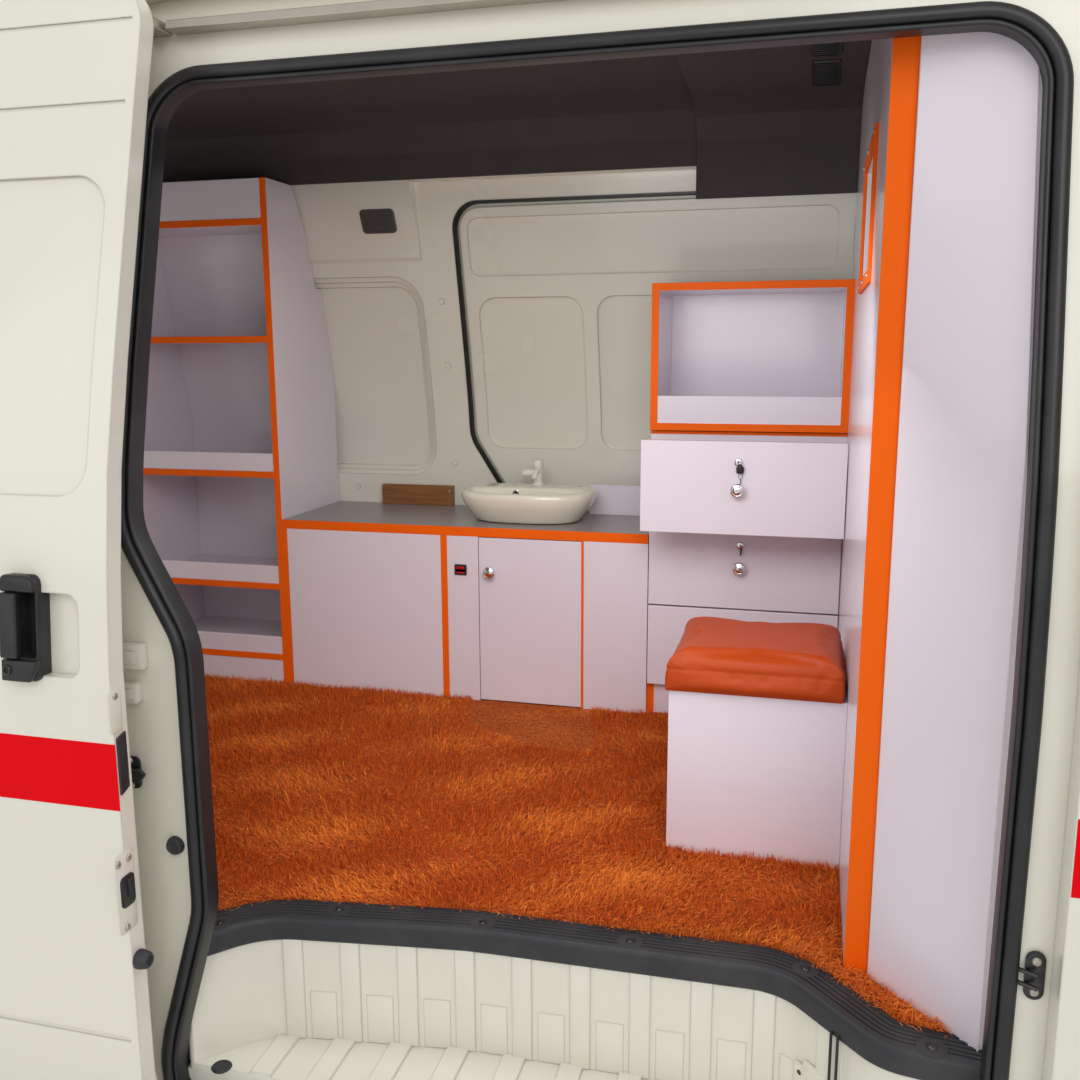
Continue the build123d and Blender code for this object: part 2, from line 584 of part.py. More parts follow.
FRAME_HALF = ((half_width(FLOOR_Z, WALL_T), FLOOR_Z),
              *[(y, z) for y, z in INNER_LINE if FLOOR_Z < z < PLATE_Z[0]],
              (half_width(PLATE_Z[0], WALL_T), PLATE_Z[0]), *RAISED[1:4], *LINER_OUT[1:])
with BuildPart() as rear_frame:
    with BuildSketch(Plane.YZ.offset(REAR_X)):
        with BuildLine():
            Polyline(*both_sides(FRAME_HALF), close=True)
        make_face()
        offset(amount=-50, kind=Kind.INTERSECTION, mode=Mode.SUBTRACT)
    extrude(amount=REAR_FRAME)
rear_frame.part.label = "rear_frame"
export_step(rear_frame.part, "parts/rear_frame.step")

# partition
INSIDE = [(WAIST_HALF - WALL_T - FIT, CARPET_Z),
          *[(y - FIT, z) for y, z in INNER_LINE if WAIST_HIGH <= z < LINER_Z - 20],
          (half_width(LINER_Z - FIT - 4, WALL_T + FIT), LINER_Z - FIT - 4),
          (LINER_HALF, LINER_Z - FIT - 2)]
with BuildPart() as partition:
    with BuildSketch(Plane.YZ):
        with BuildLine():
            Polyline((PART_EDGE_Y, CARPET_Z), (PART_EDGE_Y, PART_TOP), (-LINER_HALF, PART_TOP),
                     *both_sides(LINER_OUT)[1:-1], *INSIDE[::-1], close=True)
        make_face()
        with Locations(((HATCH_Y[0] + HATCH_Y[1]) / 2, (HATCH_Z[0] + HATCH_Z[1]) / 2)):
            Rectangle(HATCH_Y[1] - HATCH_Y[0], HATCH_Z[1] - HATCH_Z[0], mode=Mode.SUBTRACT)
    extrude(amount=PART_T)
partition.part.label = "partition"
export_step(partition.part, "parts/partition.step")

with BuildPart() as partition_edging:
    block((0, PART_T), (PART_EDGE_Y - EDGING_T, PART_EDGE_Y), (CARPET_Z, PART_TOP))
partition_edging.part.label = "partition_edging"
export_step(partition_edging.part, "parts/partition_edging.step")

with BuildPart() as hatch_frame:
    with BuildSketch(Plane.YZ.offset(-6)):
        with Locations(((HATCH_Y[0] + HATCH_Y[1]) / 2, (HATCH_Z[0] + HATCH_Z[1]) / 2)):
            Rectangle(HATCH_Y[1] - HATCH_Y[0] + 2 * HATCH_FRAME,
                      HATCH_Z[1] - HATCH_Z[0] + 2 * HATCH_FRAME)
            Rectangle(HATCH_Y[1] - HATCH_Y[0], HATCH_Z[1] - HATCH_Z[0], mode=Mode.SUBTRACT)
    extrude(amount=6)
hatch_frame.part.label = "hatch_frame"
export_step(hatch_frame.part, "parts/hatch_frame.step")

with BuildPart() as hatch_pane:
    block((PART_T / 2 - 2, PART_T / 2 + 2), HATCH_Y, HATCH_Z)
hatch_pane.part.label = "hatch_pane"
export_step(hatch_pane.part, "parts/hatch_pane.step")

# a board from the partition's free edge to the aperture, bent to follow the wall inwards
CLOSURE_OUT = 158.0 - PART_EDGE_Y
CLOSURE = [(CARPET_Z, CLOSURE_OUT), (height_at(CLOSURE_OUT, WALL_T + FIT), CLOSURE_OUT),
           *[(z, y) for y, z in side_line(WALL_T + FIT)
             if y < CLOSURE_OUT and CARPET_Z < z < PART_TOP],
           (PART_TOP, half_width(PART_TOP, WALL_T + FIT))]
with BuildPart() as closure_panel:
    for z, y in CLOSURE:
        with BuildSketch(Plane.XY.offset(z)):
            with BuildLine():
                Polyline((PART_T, PART_EDGE_Y - 11), (172, -y), (186, 12 - y),
                         (PART_T, PART_EDGE_Y + 12), close=True)
            make_face()
    loft(ruled=True)
    add(tread_strip.part, mode=Mode.SUBTRACT)
closure_panel.part.label = "closure_panel"
export_step(closure_panel.part, "parts/closure_panel.step")

# shelf unit
# the side boards reach into the pressed recess and step in again under the raised plate
UNIT_Y = half_width(QUARTER_Z[0], WALL_T + FIT)
NOTCH_Z = QUARTER_Z[1] - 2 * QUARTER_STEP - FIT
IN_RECESS = WALL_T - QUARTER_D + FIT
UNIT_BACK = [(UNIT_Y, CARPET_Z), (UNIT_Y, height_at(UNIT_Y, IN_RECESS)),
             *[(y, z) for y, z in side_line(IN_RECESS)
               if y < UNIT_Y and CARPET_Z < z < NOTCH_Z],
             (half_width(NOTCH_Z, IN_RECESS), NOTCH_Z),
             (half_width(NOTCH_Z, WALL_T + FIT), NOTCH_Z),
             (half_width(PLATE_Z[0] - FIT, WALL_T + FIT), PLATE_Z[0] - FIT),
             (half_width(PLATE_Z[1], WALL_T + PLATE_T + FIT), PLATE_Z[1]),
             (half_width(PLATE_Z[2], WALL_T + PLATE_T + FIT), PLATE_Z[2]),
             (LINER_HALF - 15, LINER_Z - FIT)]
SHELF_FRONT = FRONT_Y + EDGING_T
BACK_T = 8.0
# the back sheet runs straight past the step in the side boards
SHEET = [(BACK_Y, CARPET_Z), (BACK_Y, COLUMN_TOP), *UNIT_BACK[-5:]]
with BuildPart() as shelf_unit:
    for x in (SHELF_X[0], SHELF_X[1] - BOARD):
        with BuildSketch(Plane.YZ.offset(x)):
            with BuildLine():
                Polyline((SHELF_FRONT, CARPET_Z), *UNIT_BACK, (SHELF_FRONT, LINER_Z - FIT),
                         close=True)
            make_face()
        extrude(amount=BOARD)
shelf_unit.part.label = "shelf_unit"
export_step(shelf_unit.part, "parts/shelf_unit.step")

BETWEEN = (SHELF_X[0] + BOARD, SHELF_X[1] - BOARD)
with BuildPart() as shelf_back:
    with BuildSketch(Plane.YZ.offset(BETWEEN[0])):
        with BuildLine():
            Polyline(*SHEET, *[(y - BACK_T, z) for y, z in SHEET[::-1]], close=True)
        make_face()
    extrude(amount=BETWEEN[1] - BETWEEN[0])
shelf_back.part.label = "shelf_back"
export_step(shelf_back.part, "parts/shelf_back.step")

with BuildPart() as shelf_boards:
    for z in SHELF_Z:
        block(BETWEEN, (SHELF_FRONT, BACK_Y), (z, z + BOARD))
    for z in ((CARPET_Z, SHELF_Z[0]), (SHELF_Z[-1] + BOARD, LINER_Z - FIT)):
        block(BETWEEN, (SHELF_FRONT, SHELF_FRONT + BOARD), z)
    with BuildSketch(Plane.YZ.offset(BETWEEN[0])):
        with BuildLine():
            Polyline((FRONT_Y - 5, CARPET_Z), *[(y - BACK_T, z) for y, z in SHEET],
                     (FRONT_Y - 5, LINER_Z - FIT), close=True)
        make_face()
    extrude(amount=BETWEEN[1] - BETWEEN[0], mode=Mode.INTERSECT)
shelf_boards.part.label = "shelf_boards"
export_step(shelf_boards.part, "parts/shelf_boards.step")

with BuildPart() as shelf_lips:
    for z in SHELF_Z[:3]:
        block((SHELF_X[0] + BOARD, SHELF_X[1] - BOARD), (SHELF_FRONT + 1, SHELF_FRONT + 1 + LIP_T),
              (z + BOARD, z + BOARD + LIP_H))
shelf_lips.part.label = "shelf_lips"
export_step(shelf_lips.part, "parts/shelf_lips.step")

with BuildPart() as shelf_edging:
    for x in (SHELF_X[0], SHELF_X[1] - BOARD):
        block((x, x + BOARD), (FRONT_Y, SHELF_FRONT), (CARPET_Z, LINER_Z - FIT))
    for z in SHELF_Z:
        block((SHELF_X[0] + BOARD, SHELF_X[1] - BOARD), (FRONT_Y, SHELF_FRONT), (z, z + BOARD))
shelf_edging.part.label = "shelf_edging"
export_step(shelf_edging.part, "parts/shelf_edging.step")

# base cabinets and worktop
BASE_TOP = WORKTOP_Z - WORKTOP_T
FRONT_BACK = FRONT_Y + BOARD         # back face of the fronts
DIVIDER = (DIVIDER_X, DIVIDER_X + BOARD)
FIRST_STILE = (BASE_X[0], BASE_X[0] + FIRST_STILE_W)
POSTS = ((BASE_X[0], BASE_X[0] + BOARD), DIVIDER, (STILE_X[0], STILE_X[0] + BOARD),
         (BASE_X[1] - BOARD, BASE_X[1]))
with BuildPart() as base_carcass:
    block(BASE_X, (FRONT_BACK, BACK_Y), (CARPET_Z, BASE_TOP))
    for (_, low), (high, _) in zip(POSTS, POSTS[1:]):
        block((low, high), (FRONT_Y - 10, BACK_Y - BOARD), (CARPET_Z + BOARD, BASE_TOP + 1),
              mode=Mode.SUBTRACT)
    for stile in (FIRST_STILE, DIVIDER, STILE_X):
        block(stile, (SHELF_FRONT, FRONT_BACK), (CARPET_Z, BASE_TOP))
base_carcass.part.label = "base_carcass"
export_step(base_carcass.part, "parts/base_carcass.step")

with BuildPart() as base_panels:
    for x in ((FIRST_STILE[1], DIVIDER[0]), SWITCH_X, (STILE_X[1], BASE_X[1])):
        block(x, (FRONT_Y, FRONT_BACK), (CARPET_Z, BASE_TOP))
base_panels.part.label = "base_panels"
export_step(base_panels.part, "parts/base_panels.step")

with BuildPart() as base_edging:
    for stile in (FIRST_STILE, DIVIDER, STILE_X):
        block(stile, (FRONT_Y, SHELF_FRONT), (CARPET_Z, BASE_TOP))
base_edging.part.label = "base_edging"
export_step(base_edging.part, "parts/base_edging.step")

with BuildPart() as worktop:
    block(BASE_X, (SHELF_FRONT, WAIST_HALF - WALL_T - FIT), (BASE_TOP, WORKTOP_Z))
worktop.part.label = "worktop"
export_step(worktop.part, "parts/worktop.step")

with BuildPart() as worktop_edging:
    block(BASE_X, (FRONT_Y, SHELF_FRONT), (BASE_TOP, WORKTOP_Z))
worktop_edging.part.label = "worktop_edging"
export_step(worktop_edging.part, "parts/worktop_edging.step")

with BuildPart() as switch:
    block((-997, -963), (FRONT_Y - 3, FRONT_Y), (749, 778))
    with BuildSketch(Plane.YZ.offset(-992)):
        with BuildLine():
            Polyline((FRONT_Y - 3, 754), (FRONT_Y - 6, 757), (FRONT_Y - 8, 773), (FRONT_Y - 3, 773),
                     close=True)
        make_face()
    extrude(amount=24)
switch.part.label = "switch"
export_step(switch.part, "parts/switch.step")

DOOR_CLEAR = 0.5                     # a moving front stands this far before its frame
with BuildPart() as cupboard_door:
    block((SWITCH_X[1] + REVEAL, STILE_X[0] - HINGE_FIT), (FRONT_Y, FRONT_BACK - DOOR_CLEAR),
          (CARPET_Z + 2 * REVEAL, BASE_TOP - REVEAL))
cupboard_door.part.label = "cupboard_door"
export_step(cupboard_door.part, "parts/cupboard_door.step")


def knob(x, z, front):
    """Turned pull knob standing out of a front, its base on the front's face."""
    with BuildPart() as turned:
        with BuildSketch(Plane.XY):
            with BuildLine():
                Polyline((0, 0), (8, 0), (6, 3), (5.5, 10), (KNOB_R - 3, 14), (KNOB_R, 18),
                         (KNOB_R, 22), (KNOB_R - 4, 26), (0, 27), close=True)
            make_face()
        revolve(axis=Axis.Y)
    return turned.part.rotate(Axis.X, 180).moved(Location((x, front, z)))


with BuildPart() as cupboard_knob:
    add(knob(-895, 763, FRONT_Y))
cupboard_knob.part.label = "cupboard_knob"
export_step(cupboard_knob.part, "parts/cupboard_knob.step")

with BuildPart() as basin:
    for size, z in (((BASIN_SIZE[0] - 90, BASIN_SIZE[1] - 70), 0), (BASIN_SIZE, BASIN_H - 12)):
        with BuildSketch(Plane.XY.offset(WORKTOP_Z + z)):
            with Locations(BASIN):
                RectangleRounded(*size, radius=85)
    loft()
    with BuildSketch(Plane.XY.offset(WORKTOP_Z + BASIN_H - 12)):
        with Locations(BASIN):
            RectangleRounded(*BASIN_SIZE, radius=85)
    extrude(amount=12)
    for size, z in (((170, 90), 22), ((BASIN_SIZE[0] - 50, BASIN_SIZE[1] - 90), BASIN_H)):
        with BuildSketch(Plane.XY.offset(WORKTOP_Z + z)):
            with Locations((BASIN[0], BASIN[1] - 20)):
                RectangleRounded(*size, radius=min(size) / 2 - 5)
    loft(mode=Mode.SUBTRACT)
    with Locations((BASIN[0], BASIN[1] - 20, WORKTOP_Z)):
        Cylinder(16, 60, mode=Mode.SUBTRACT)
basin.part.label = "basin"
export_step(basin.part, "parts/basin.step")

TAP = (-831.0, BASIN[1] + BASIN_SIZE[1] / 2 - 32)
with BuildPart() as tap:
    with BuildSketch(Plane.XY.offset(WORKTOP_Z + BASIN_H)):
        with Locations(TAP):
            Circle(17)
    extrude(amount=8)
    with BuildSketch(Plane.XY.offset(WORKTOP_Z + BASIN_H + 8)):
        with Locations(TAP):
            Circle(11)
    extrude(amount=50)
    with BuildSketch(Plane.XY.offset(WORKTOP_Z + BASIN_H + 58)):
        with Locations(TAP):
            Circle(15)
    extrude(amount=14)
    block((TAP[0] - 60, TAP[0]), (TAP[1] - 9, TAP[1] + 9),
          (WORKTOP_Z + BASIN_H + 22, WORKTOP_Z + BASIN_H + 38))
    block((TAP[0] - 60, TAP[0] - 44), (TAP[1] - 8, TAP[1] + 8),
          (WORKTOP_Z + BASIN_H + 8, WORKTOP_Z + BASIN_H + 23))
tap.part.label = "tap"
export_step(tap.part, "parts/tap.step")

with BuildPart() as backsplash:
    block((-690, BASE_X[1]), (BASIN[1] + 130, BASIN[1] + 142), (WORKTOP_Z, WORKTOP_Z + 84))
backsplash.part.label = "backsplash"
export_step(backsplash.part, "parts/backsplash.step")

BATTEN_H = 60.0
with BuildPart() as wall_batten:
    block((-1352, -1124), (BACK_Y + 1, half_width(WORKTOP_Z + BATTEN_H, WALL_T + 0.3)),
          (WORKTOP_Z, WORKTOP_Z + BATTEN_H))
wall_batten.part.label = "wall_batten"
export_step(wall_batten.part, "parts/wall_batten.step")

# drawer column
COLUMN_FRONT = FRONT_BACK + DOOR_CLEAR
with BuildPart() as column_carcass:
    block(COLUMN_X, (COLUMN_FRONT, BACK_Y), (CARPET_Z, COLUMN_TOP))
    block((COLUMN_X[0] + BOARD, COLUMN_X[1] - BOARD), (COLUMN_FRONT - 5, BACK_Y - BOARD),
          (DRAWER_Z[2][0], COLUMN_TOP - BOARD), mode=Mode.SUBTRACT)
    block((COLUMN_X[0] + BOARD, COLUMN_X[1] - BOARD), (COLUMN_FRONT + BOARD, BACK_Y - BOARD),
          (CARPET_Z + BOARD, DRAWER_Z[2][0] - BOARD), mode=Mode.SUBTRACT)
column_carcass.part.label = "column_carcass"
export_step(column_carcass.part, "parts/column_carcass.step")

with BuildPart() as column_edging:
    block((COLUMN_X[0], COLUMN_X[0] + BOARD), (COLUMN_FRONT - EDGING_T, COLUMN_FRONT),
          (CARPET_Z, DRAWER_Z[2][0] - 3))
    block(COLUMN_X, (COLUMN_FRONT - EDGING_T, COLUMN_FRONT), (COLUMN_TOP, COLUMN_TOP + 8))
column_edging.part.label = "column_edging"
export_step(column_edging.part, "parts/column_edging.step")

RUNNER_X = ((COLUMN_X[0] + BOARD, COLUMN_X[0] + BOARD + RUNNER_T),
            (COLUMN_X[1] - BOARD - RUNNER_T, COLUMN_X[1] - BOARD))
with BuildPart() as column_runners:
    for z0, z1 in DRAWER_Z:
        for x in RUNNER_X:
            block(x, (COLUMN_FRONT + 2, COLUMN_FRONT + DRAWER_D), (z0 + 60, z0 + 60 + RUNNER_H))
column_runners.part.label = "column_runners"
export_step(column_runners.part, "parts/column_runners.step")

BOX_X = (RUNNER_X[0][1] + DOOR_CLEAR, RUNNER_X[1][0] - DOOR_CLEAR)


def drawer(z, out):
    """Open drawer box with its front board, drawn out by a distance."""
    y = FRONT_Y - out
    with BuildPart() as shape:
        block((COLUMN_X[0] + REVEAL, COLUMN_X[1] - REVEAL), (y, y + BOARD), z)
        block(BOX_X, (y + BOARD, y + BOARD + DRAWER_D), (z[0] + 25, z[1] - 50))
        block((BOX_X[0] + DRAWER_SIDE, BOX_X[1] - DRAWER_SIDE),
              (y + BOARD + DRAWER_SIDE, y + BOARD + DRAWER_D - DRAWER_SIDE),
              (z[0] + 25 + DRAWER_SIDE, z[1]), mode=Mode.SUBTRACT)
    return shape.part


def pulls(z, out):
    """Knob and lock barrel of one drawer."""
    front = FRONT_Y - out
    with BuildPart() as shape:
        add(knob(-244, z[0] + 107, front))
        with BuildSketch(Plane.XZ.offset(-front)):
            with Locations((-244, z[1] - 48)):
                Circle(10)
        extrude(amount=6)
    return shape.part


with BuildPart() as drawer_1:
    add(drawer(DRAWER_Z[0], DRAWER_OPEN))
drawer_1.part.label = "drawer_1"
export_step(drawer_1.part, "parts/drawer_1.step")

with BuildPart() as drawer_1_pulls:
    add(pulls(DRAWER_Z[0], DRAWER_OPEN))
drawer_1_pulls.part.label = "drawer_1_pulls"
export_step(drawer_1_pulls.part, "parts/drawer_1_pulls.step")

with BuildPart() as drawer_2:
    add(drawer(DRAWER_Z[1], 0))
drawer_2.part.label = "drawer_2"
export_step(drawer_2.part, "parts/drawer_2.step")

with BuildPart() as drawer_2_pulls:
    add(pulls(DRAWER_Z[1], 0))
drawer_2_pulls.part.label = "drawer_2_pulls"
export_step(drawer_2_pulls.part, "parts/drawer_2_pulls.step")

with BuildPart() as drawer_3:
    add(drawer(DRAWER_Z[2], 0))
drawer_3.part.label = "drawer_3"
export_step(drawer_3.part, "parts/drawer_3.step")

with BuildPart() as drawer_3_pulls:
    add(pulls(DRAWER_Z[2], 0))
drawer_3_pulls.part.label = "drawer_3_pulls"
export_step(drawer_3_pulls.part, "parts/drawer_3_pulls.step")

with BuildPart() as top_box:
    block(COLUMN_X, (SHELF_FRONT, TOP_BOX_BACK), TOP_BOX_Z)
    block((COLUMN_X[0] + BOARD, COLUMN_X[1] - BOARD), (FRONT_Y - 10, TOP_BOX_BACK - BOARD),
          (TOP_BOX_Z[0] + BOARD, TOP_BOX_Z[1] - BOARD), mode=Mode.SUBTRACT)
    # lip board across the front
    block((COLUMN_X[0] + BOARD, COLUMN_X[1] - BOARD), (SHELF_FRONT + 1, SHELF_FRONT + 1 + LIP_T),
          (TOP_BOX_Z[0] + BOARD, TOP_BOX_Z[0] + 85))
    # feet down on to the column
    for x in ((COLUMN_X[0], COLUMN_X[0] + BOARD), (COLUMN_X[1] - BOARD, COLUMN_X[1])):
        block(x, (COLUMN_FRONT, TOP_BOX_BACK), (COLUMN_TOP, TOP_BOX_Z[0]))
top_box.part.label = "top_box"
export_step(top_box.part, "parts/top_box.step")

with BuildPart() as top_box_edging:
    with BuildSketch(Plane.XZ.offset(-SHELF_FRONT)):
        with Locations(((COLUMN_X[0] + COLUMN_X[1]) / 2, (TOP_BOX_Z[0] + TOP_BOX_Z[1]) / 2)):
            Rectangle(COLUMN_X[1] - COLUMN_X[0], TOP_BOX_Z[1] - TOP_BOX_Z[0])
            Rectangle(COLUMN_X[1] - COLUMN_X[0] - 2 * BOARD,
                      TOP_BOX_Z[1] - TOP_BOX_Z[0] - 2 * BOARD, mode=Mode.SUBTRACT)
    extrude(amount=EDGING_T)
top_box_edging.part.label = "top_box_edging"
export_step(top_box_edging.part, "parts/top_box_edging.step")

# bench
with BuildPart() as bench_box:
    block(BENCH_X, BENCH_Y, (CARPET_Z, BENCH_Z))
    block((BENCH_X[0] + BENCH_WALL, BENCH_X[1] - BENCH_WALL),
          (BENCH_Y[0] + BENCH_WALL, BENCH_Y[1] - BENCH_WALL),
          (CARPET_Z + BENCH_WALL, BENCH_Z - BENCH_WALL), mode=Mode.SUBTRACT)
bench_box.part.label = "bench_box"
export_step(bench_box.part, "parts/bench_box.step")

with BuildPart() as bench_cushion:
    block((BENCH_X[0] - CUSHION_OVER, BENCH_X[1] - 1),
          (BENCH_Y[0] - CUSHION_OVER, BENCH_Y[1] + CUSHION_OVER / 2),
          (BENCH_Z, BENCH_Z + CUSHION_H))
    fillet(bench_cushion.edges().filter_by(Axis.Z), radius=CUSHION_CROWN + 2)
    chamfer(bench_cushion.faces().sort_by(Axis.Z)[-1].edges(), length=CUSHION_CROWN)
bench_cushion.part.label = "bench_cushion"
export_step(bench_cushion.part, "parts/bench_cushion.step")
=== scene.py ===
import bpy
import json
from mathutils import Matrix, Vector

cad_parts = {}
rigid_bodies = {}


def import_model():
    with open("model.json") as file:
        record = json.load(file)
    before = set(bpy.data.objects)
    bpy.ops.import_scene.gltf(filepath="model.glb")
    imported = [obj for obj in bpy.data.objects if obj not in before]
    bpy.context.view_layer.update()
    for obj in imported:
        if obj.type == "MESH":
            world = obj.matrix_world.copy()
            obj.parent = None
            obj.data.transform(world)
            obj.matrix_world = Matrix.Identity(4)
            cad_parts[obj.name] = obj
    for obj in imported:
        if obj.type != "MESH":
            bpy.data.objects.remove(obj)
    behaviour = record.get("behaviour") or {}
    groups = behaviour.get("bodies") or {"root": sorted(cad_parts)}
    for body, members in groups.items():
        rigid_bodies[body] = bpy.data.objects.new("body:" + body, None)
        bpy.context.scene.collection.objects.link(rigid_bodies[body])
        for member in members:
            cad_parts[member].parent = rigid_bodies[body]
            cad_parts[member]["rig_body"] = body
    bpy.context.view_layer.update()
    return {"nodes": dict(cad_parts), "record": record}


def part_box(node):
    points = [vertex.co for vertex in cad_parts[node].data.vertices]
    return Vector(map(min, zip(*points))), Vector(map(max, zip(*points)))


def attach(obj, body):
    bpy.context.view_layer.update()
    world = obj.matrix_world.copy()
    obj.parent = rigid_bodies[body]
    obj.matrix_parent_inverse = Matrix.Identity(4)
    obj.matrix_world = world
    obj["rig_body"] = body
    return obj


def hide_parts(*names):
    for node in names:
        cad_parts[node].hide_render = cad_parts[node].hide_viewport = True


bl_info = {
    "name": "Ambulance Patient Compartment",
    "version": (1, 0, 0),
    "blender": (4, 5, 0),
    "location": "3D View > Sidebar > Ambulance",
    "description": "Finishes and detail of a high-roof ambulance's patient compartment",
    "category": "Add Mesh",
}

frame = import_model()

import json
import math
import random

import bmesh
import bpy
from bpy.props import FloatProperty, FloatVectorProperty, IntProperty, PointerProperty
from mathutils import Matrix, Vector

BODY = "compartment"
MM = 0.001

# The door surround, as X, Z and corner radius in millimetres.
APERTURE = ((175, 114, 50), (184, 1742, 85), (-1066, 1742, 75), (-1066, 1085, 120),
            (-965, 915, 120), (-965, 480, 170), (-1050, 200, 140), (-1056, 114, 35))
# Plan of the floor edge over the step, as X, distance from the centreline, radius.
STEP_EDGE = ((-1036, 801, 0), (-948, 700, 150), (-600, 652, 600), (-92, 642, 110),
             (46, 786, 90), (178, 804, 0))
# Screws of the tread strip, X and Y in metres.
TREAD_SCREWS = ((-1.006, -0.743), (-0.831, -0.654), (-0.579, -0.634), (-0.331, -0.627),
                (-0.056, -0.636), (0.113, -0.782))
# Inner edge of the rear frame, as distance from the centreline, height and radius.
REAR_OPENING = ((765, 435, 40), (765, 900, 60), (712, 1330, 60), (655, 1560, 20),
                (612, 1660, 20), (552, 1830, 45), (505, 1890, 40), (420, 1915, 40), (0, 1931, 0))
# Half width of the body's skin at each height.
SKIN = ((60, 845), (260, 880), (900, 880), (1040, 868), (1180, 850), (1330, 818), (1700, 728),
        (1790, 705), (1880, 680))
HINGE = (-0.6493, 0.44, 0.285)      # cupboard door's pivot and reach, over flattened pile
DOOR_OUT = 75                # the near door stands out by this much, and back by the next
DOOR_BACK = 1250
POCKET = 45                  # the door pocket's floor, in from the skin, in millimetres
FLOOR_Z = 0.385              # top of the floor, in metres
PILE_ROOT = 0.3965           # height at which the carpet's tufts start
TREAD_IN = 53                # the carpet starts this far in from the floor edge
ALONG_X = Matrix(((0, 0, 1), (1, 0, 0), (0, 1, 0))).to_4x4()    # a plate's thickness runs in X
MERGE = 1e-5                 # points nearer than this are one
SLOTS = {s["node"]: s["material_slot"] for s in frame["record"]["subparts"]}
GROUPS = {}
FINISH = {}                  # each material under its own name


# Shapes shared by the operators

def half_width(z):
    """Half width of the body's skin at a height, both in millimetres."""
    for (z0, y0), (z1, y1) in zip(SKIN, SKIN[1:]):
        if z <= z1:
            return y0 + (y1 - y0) * (z - z0) / (z1 - z0)
    return SKIN[-1][1]


def rounded(corners, closed=True, step=12):
    """Points along an outline whose corners are rounded by their radii."""
    points = []
    last = len(corners) - 1
    for i, (x, y, r) in enumerate(corners):
        here = Vector((x, y))
        if r == 0 or (not closed and i in (0, last)):
            points.append(here)
            continue
        back = (Vector(corners[i - 1][:2]) - here).normalized()
        on = (Vector(corners[(i + 1) % len(corners)][:2]) - here).normalized()
        half = back.angle(on) / 2
        centre = here + (back + on).normalized() * (r / math.sin(half))
        start, end = here + back * (r / math.tan(half)), here + on * (r / math.tan(half))
        a0, a1 = (math.atan2(*(p - centre).yx) for p in (start, end))
        turn = (a1 - a0 + math.pi) % math.tau - math.pi
        count = max(2, round(abs(turn) / math.radians(step)))
        for k in range(count + 1):
            a = a0 + turn * k / count
            points.append(centre + r * Vector((math.cos(a), math.sin(a))))
    return points


def dense(points, gap):
    """The same closed line with points added where two stand further apart than a gap."""
    made = []
    for a, b in zip(points, [*points[1:], points[0]]):
        a, b = Vector(a), Vector(b)
        count = max(1, math.ceil((b - a).length / gap))
        made += [tuple(a.lerp(b, k / count)) for k in range(count)]
    return made


def ellipse(w, h, steps):
    """Points round an ellipse of two half widths."""
    turns = (math.tau * k / steps for k in range(steps))
    return [(w * math.cos(a), h * math.sin(a)) for a in turns]


def at(place):
    return Matrix.Translation(place)


def put(obj, matrix):
    obj.data.transform(matrix)
    return obj


def only(obj):
    """Selects one object alone and makes it active."""
    if bpy.context.object and bpy.context.object.mode != "OBJECT":
        bpy.ops.object.mode_set(mode="OBJECT")
    bpy.ops.object.select_all(action="DESELECT")
    obj.select_set(True)
    bpy.context.view_layer.objects.active = obj


def finish_piece(obj, name, finish, body=BODY, smooth=35, stands_for=None):
    """Names a piece, puts its place into its mesh, and gives it its finish, slot and body.

    The slot has the finish's name. stands_for is the node that it replaces."""
    only(obj)
    bpy.ops.object.transform_apply(location=True, rotation=True, scale=True)
    obj.name = obj.data.name = name
    obj.data.materials.clear()
    obj.data.materials.append(FINISH[finish])
    if smooth:
        bpy.ops.object.shade_smooth_by_angle(angle=math.radians(smooth))
    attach(obj, body)
    if stands_for:
        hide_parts(stands_for)


def apply_modifiers(obj):
    only(obj)
    for m in list(obj.modifiers):
        bpy.ops.object.modifier_apply(modifier=m.name)


def subdivided(obj):
    smooth = obj.modifiers.new("smooth", "SUBSURF")
    smooth.levels = smooth.render_levels = 1
    apply_modifiers(obj)


def closed_up(obj):
    """Merges points that meet and turns all faces outwards."""
    only(obj)
    bpy.ops.object.mode_set(mode="EDIT")
    bpy.ops.mesh.select_all(action="SELECT")
    bpy.ops.mesh.remove_doubles(threshold=MERGE)
    bpy.ops.mesh.normals_make_consistent(inside=False)
    bpy.ops.object.mode_set(mode="OBJECT")
    return obj


def box_between(low, high, bevel=0.0):
    """A box between two corners in metres, its edges bevelled in edit mode."""
    bpy.ops.object.select_all(action="DESELECT")
    bpy.ops.mesh.primitive_cube_add(size=1, location=(Vector(low) + Vector(high)) / 2)
    obj = bpy.context.object
    obj.scale = Vector(high) - Vector(low)
    bpy.ops.object.transform_apply(location=True, rotation=True, scale=True)
    if bevel:
        bpy.ops.object.mode_set(mode="EDIT")
        bpy.ops.mesh.select_all(action="SELECT")
        bpy.ops.mesh.bevel(offset=bevel, segments=2, affect="EDGES")
        bpy.ops.object.mode_set(mode="OBJECT")
    return obj


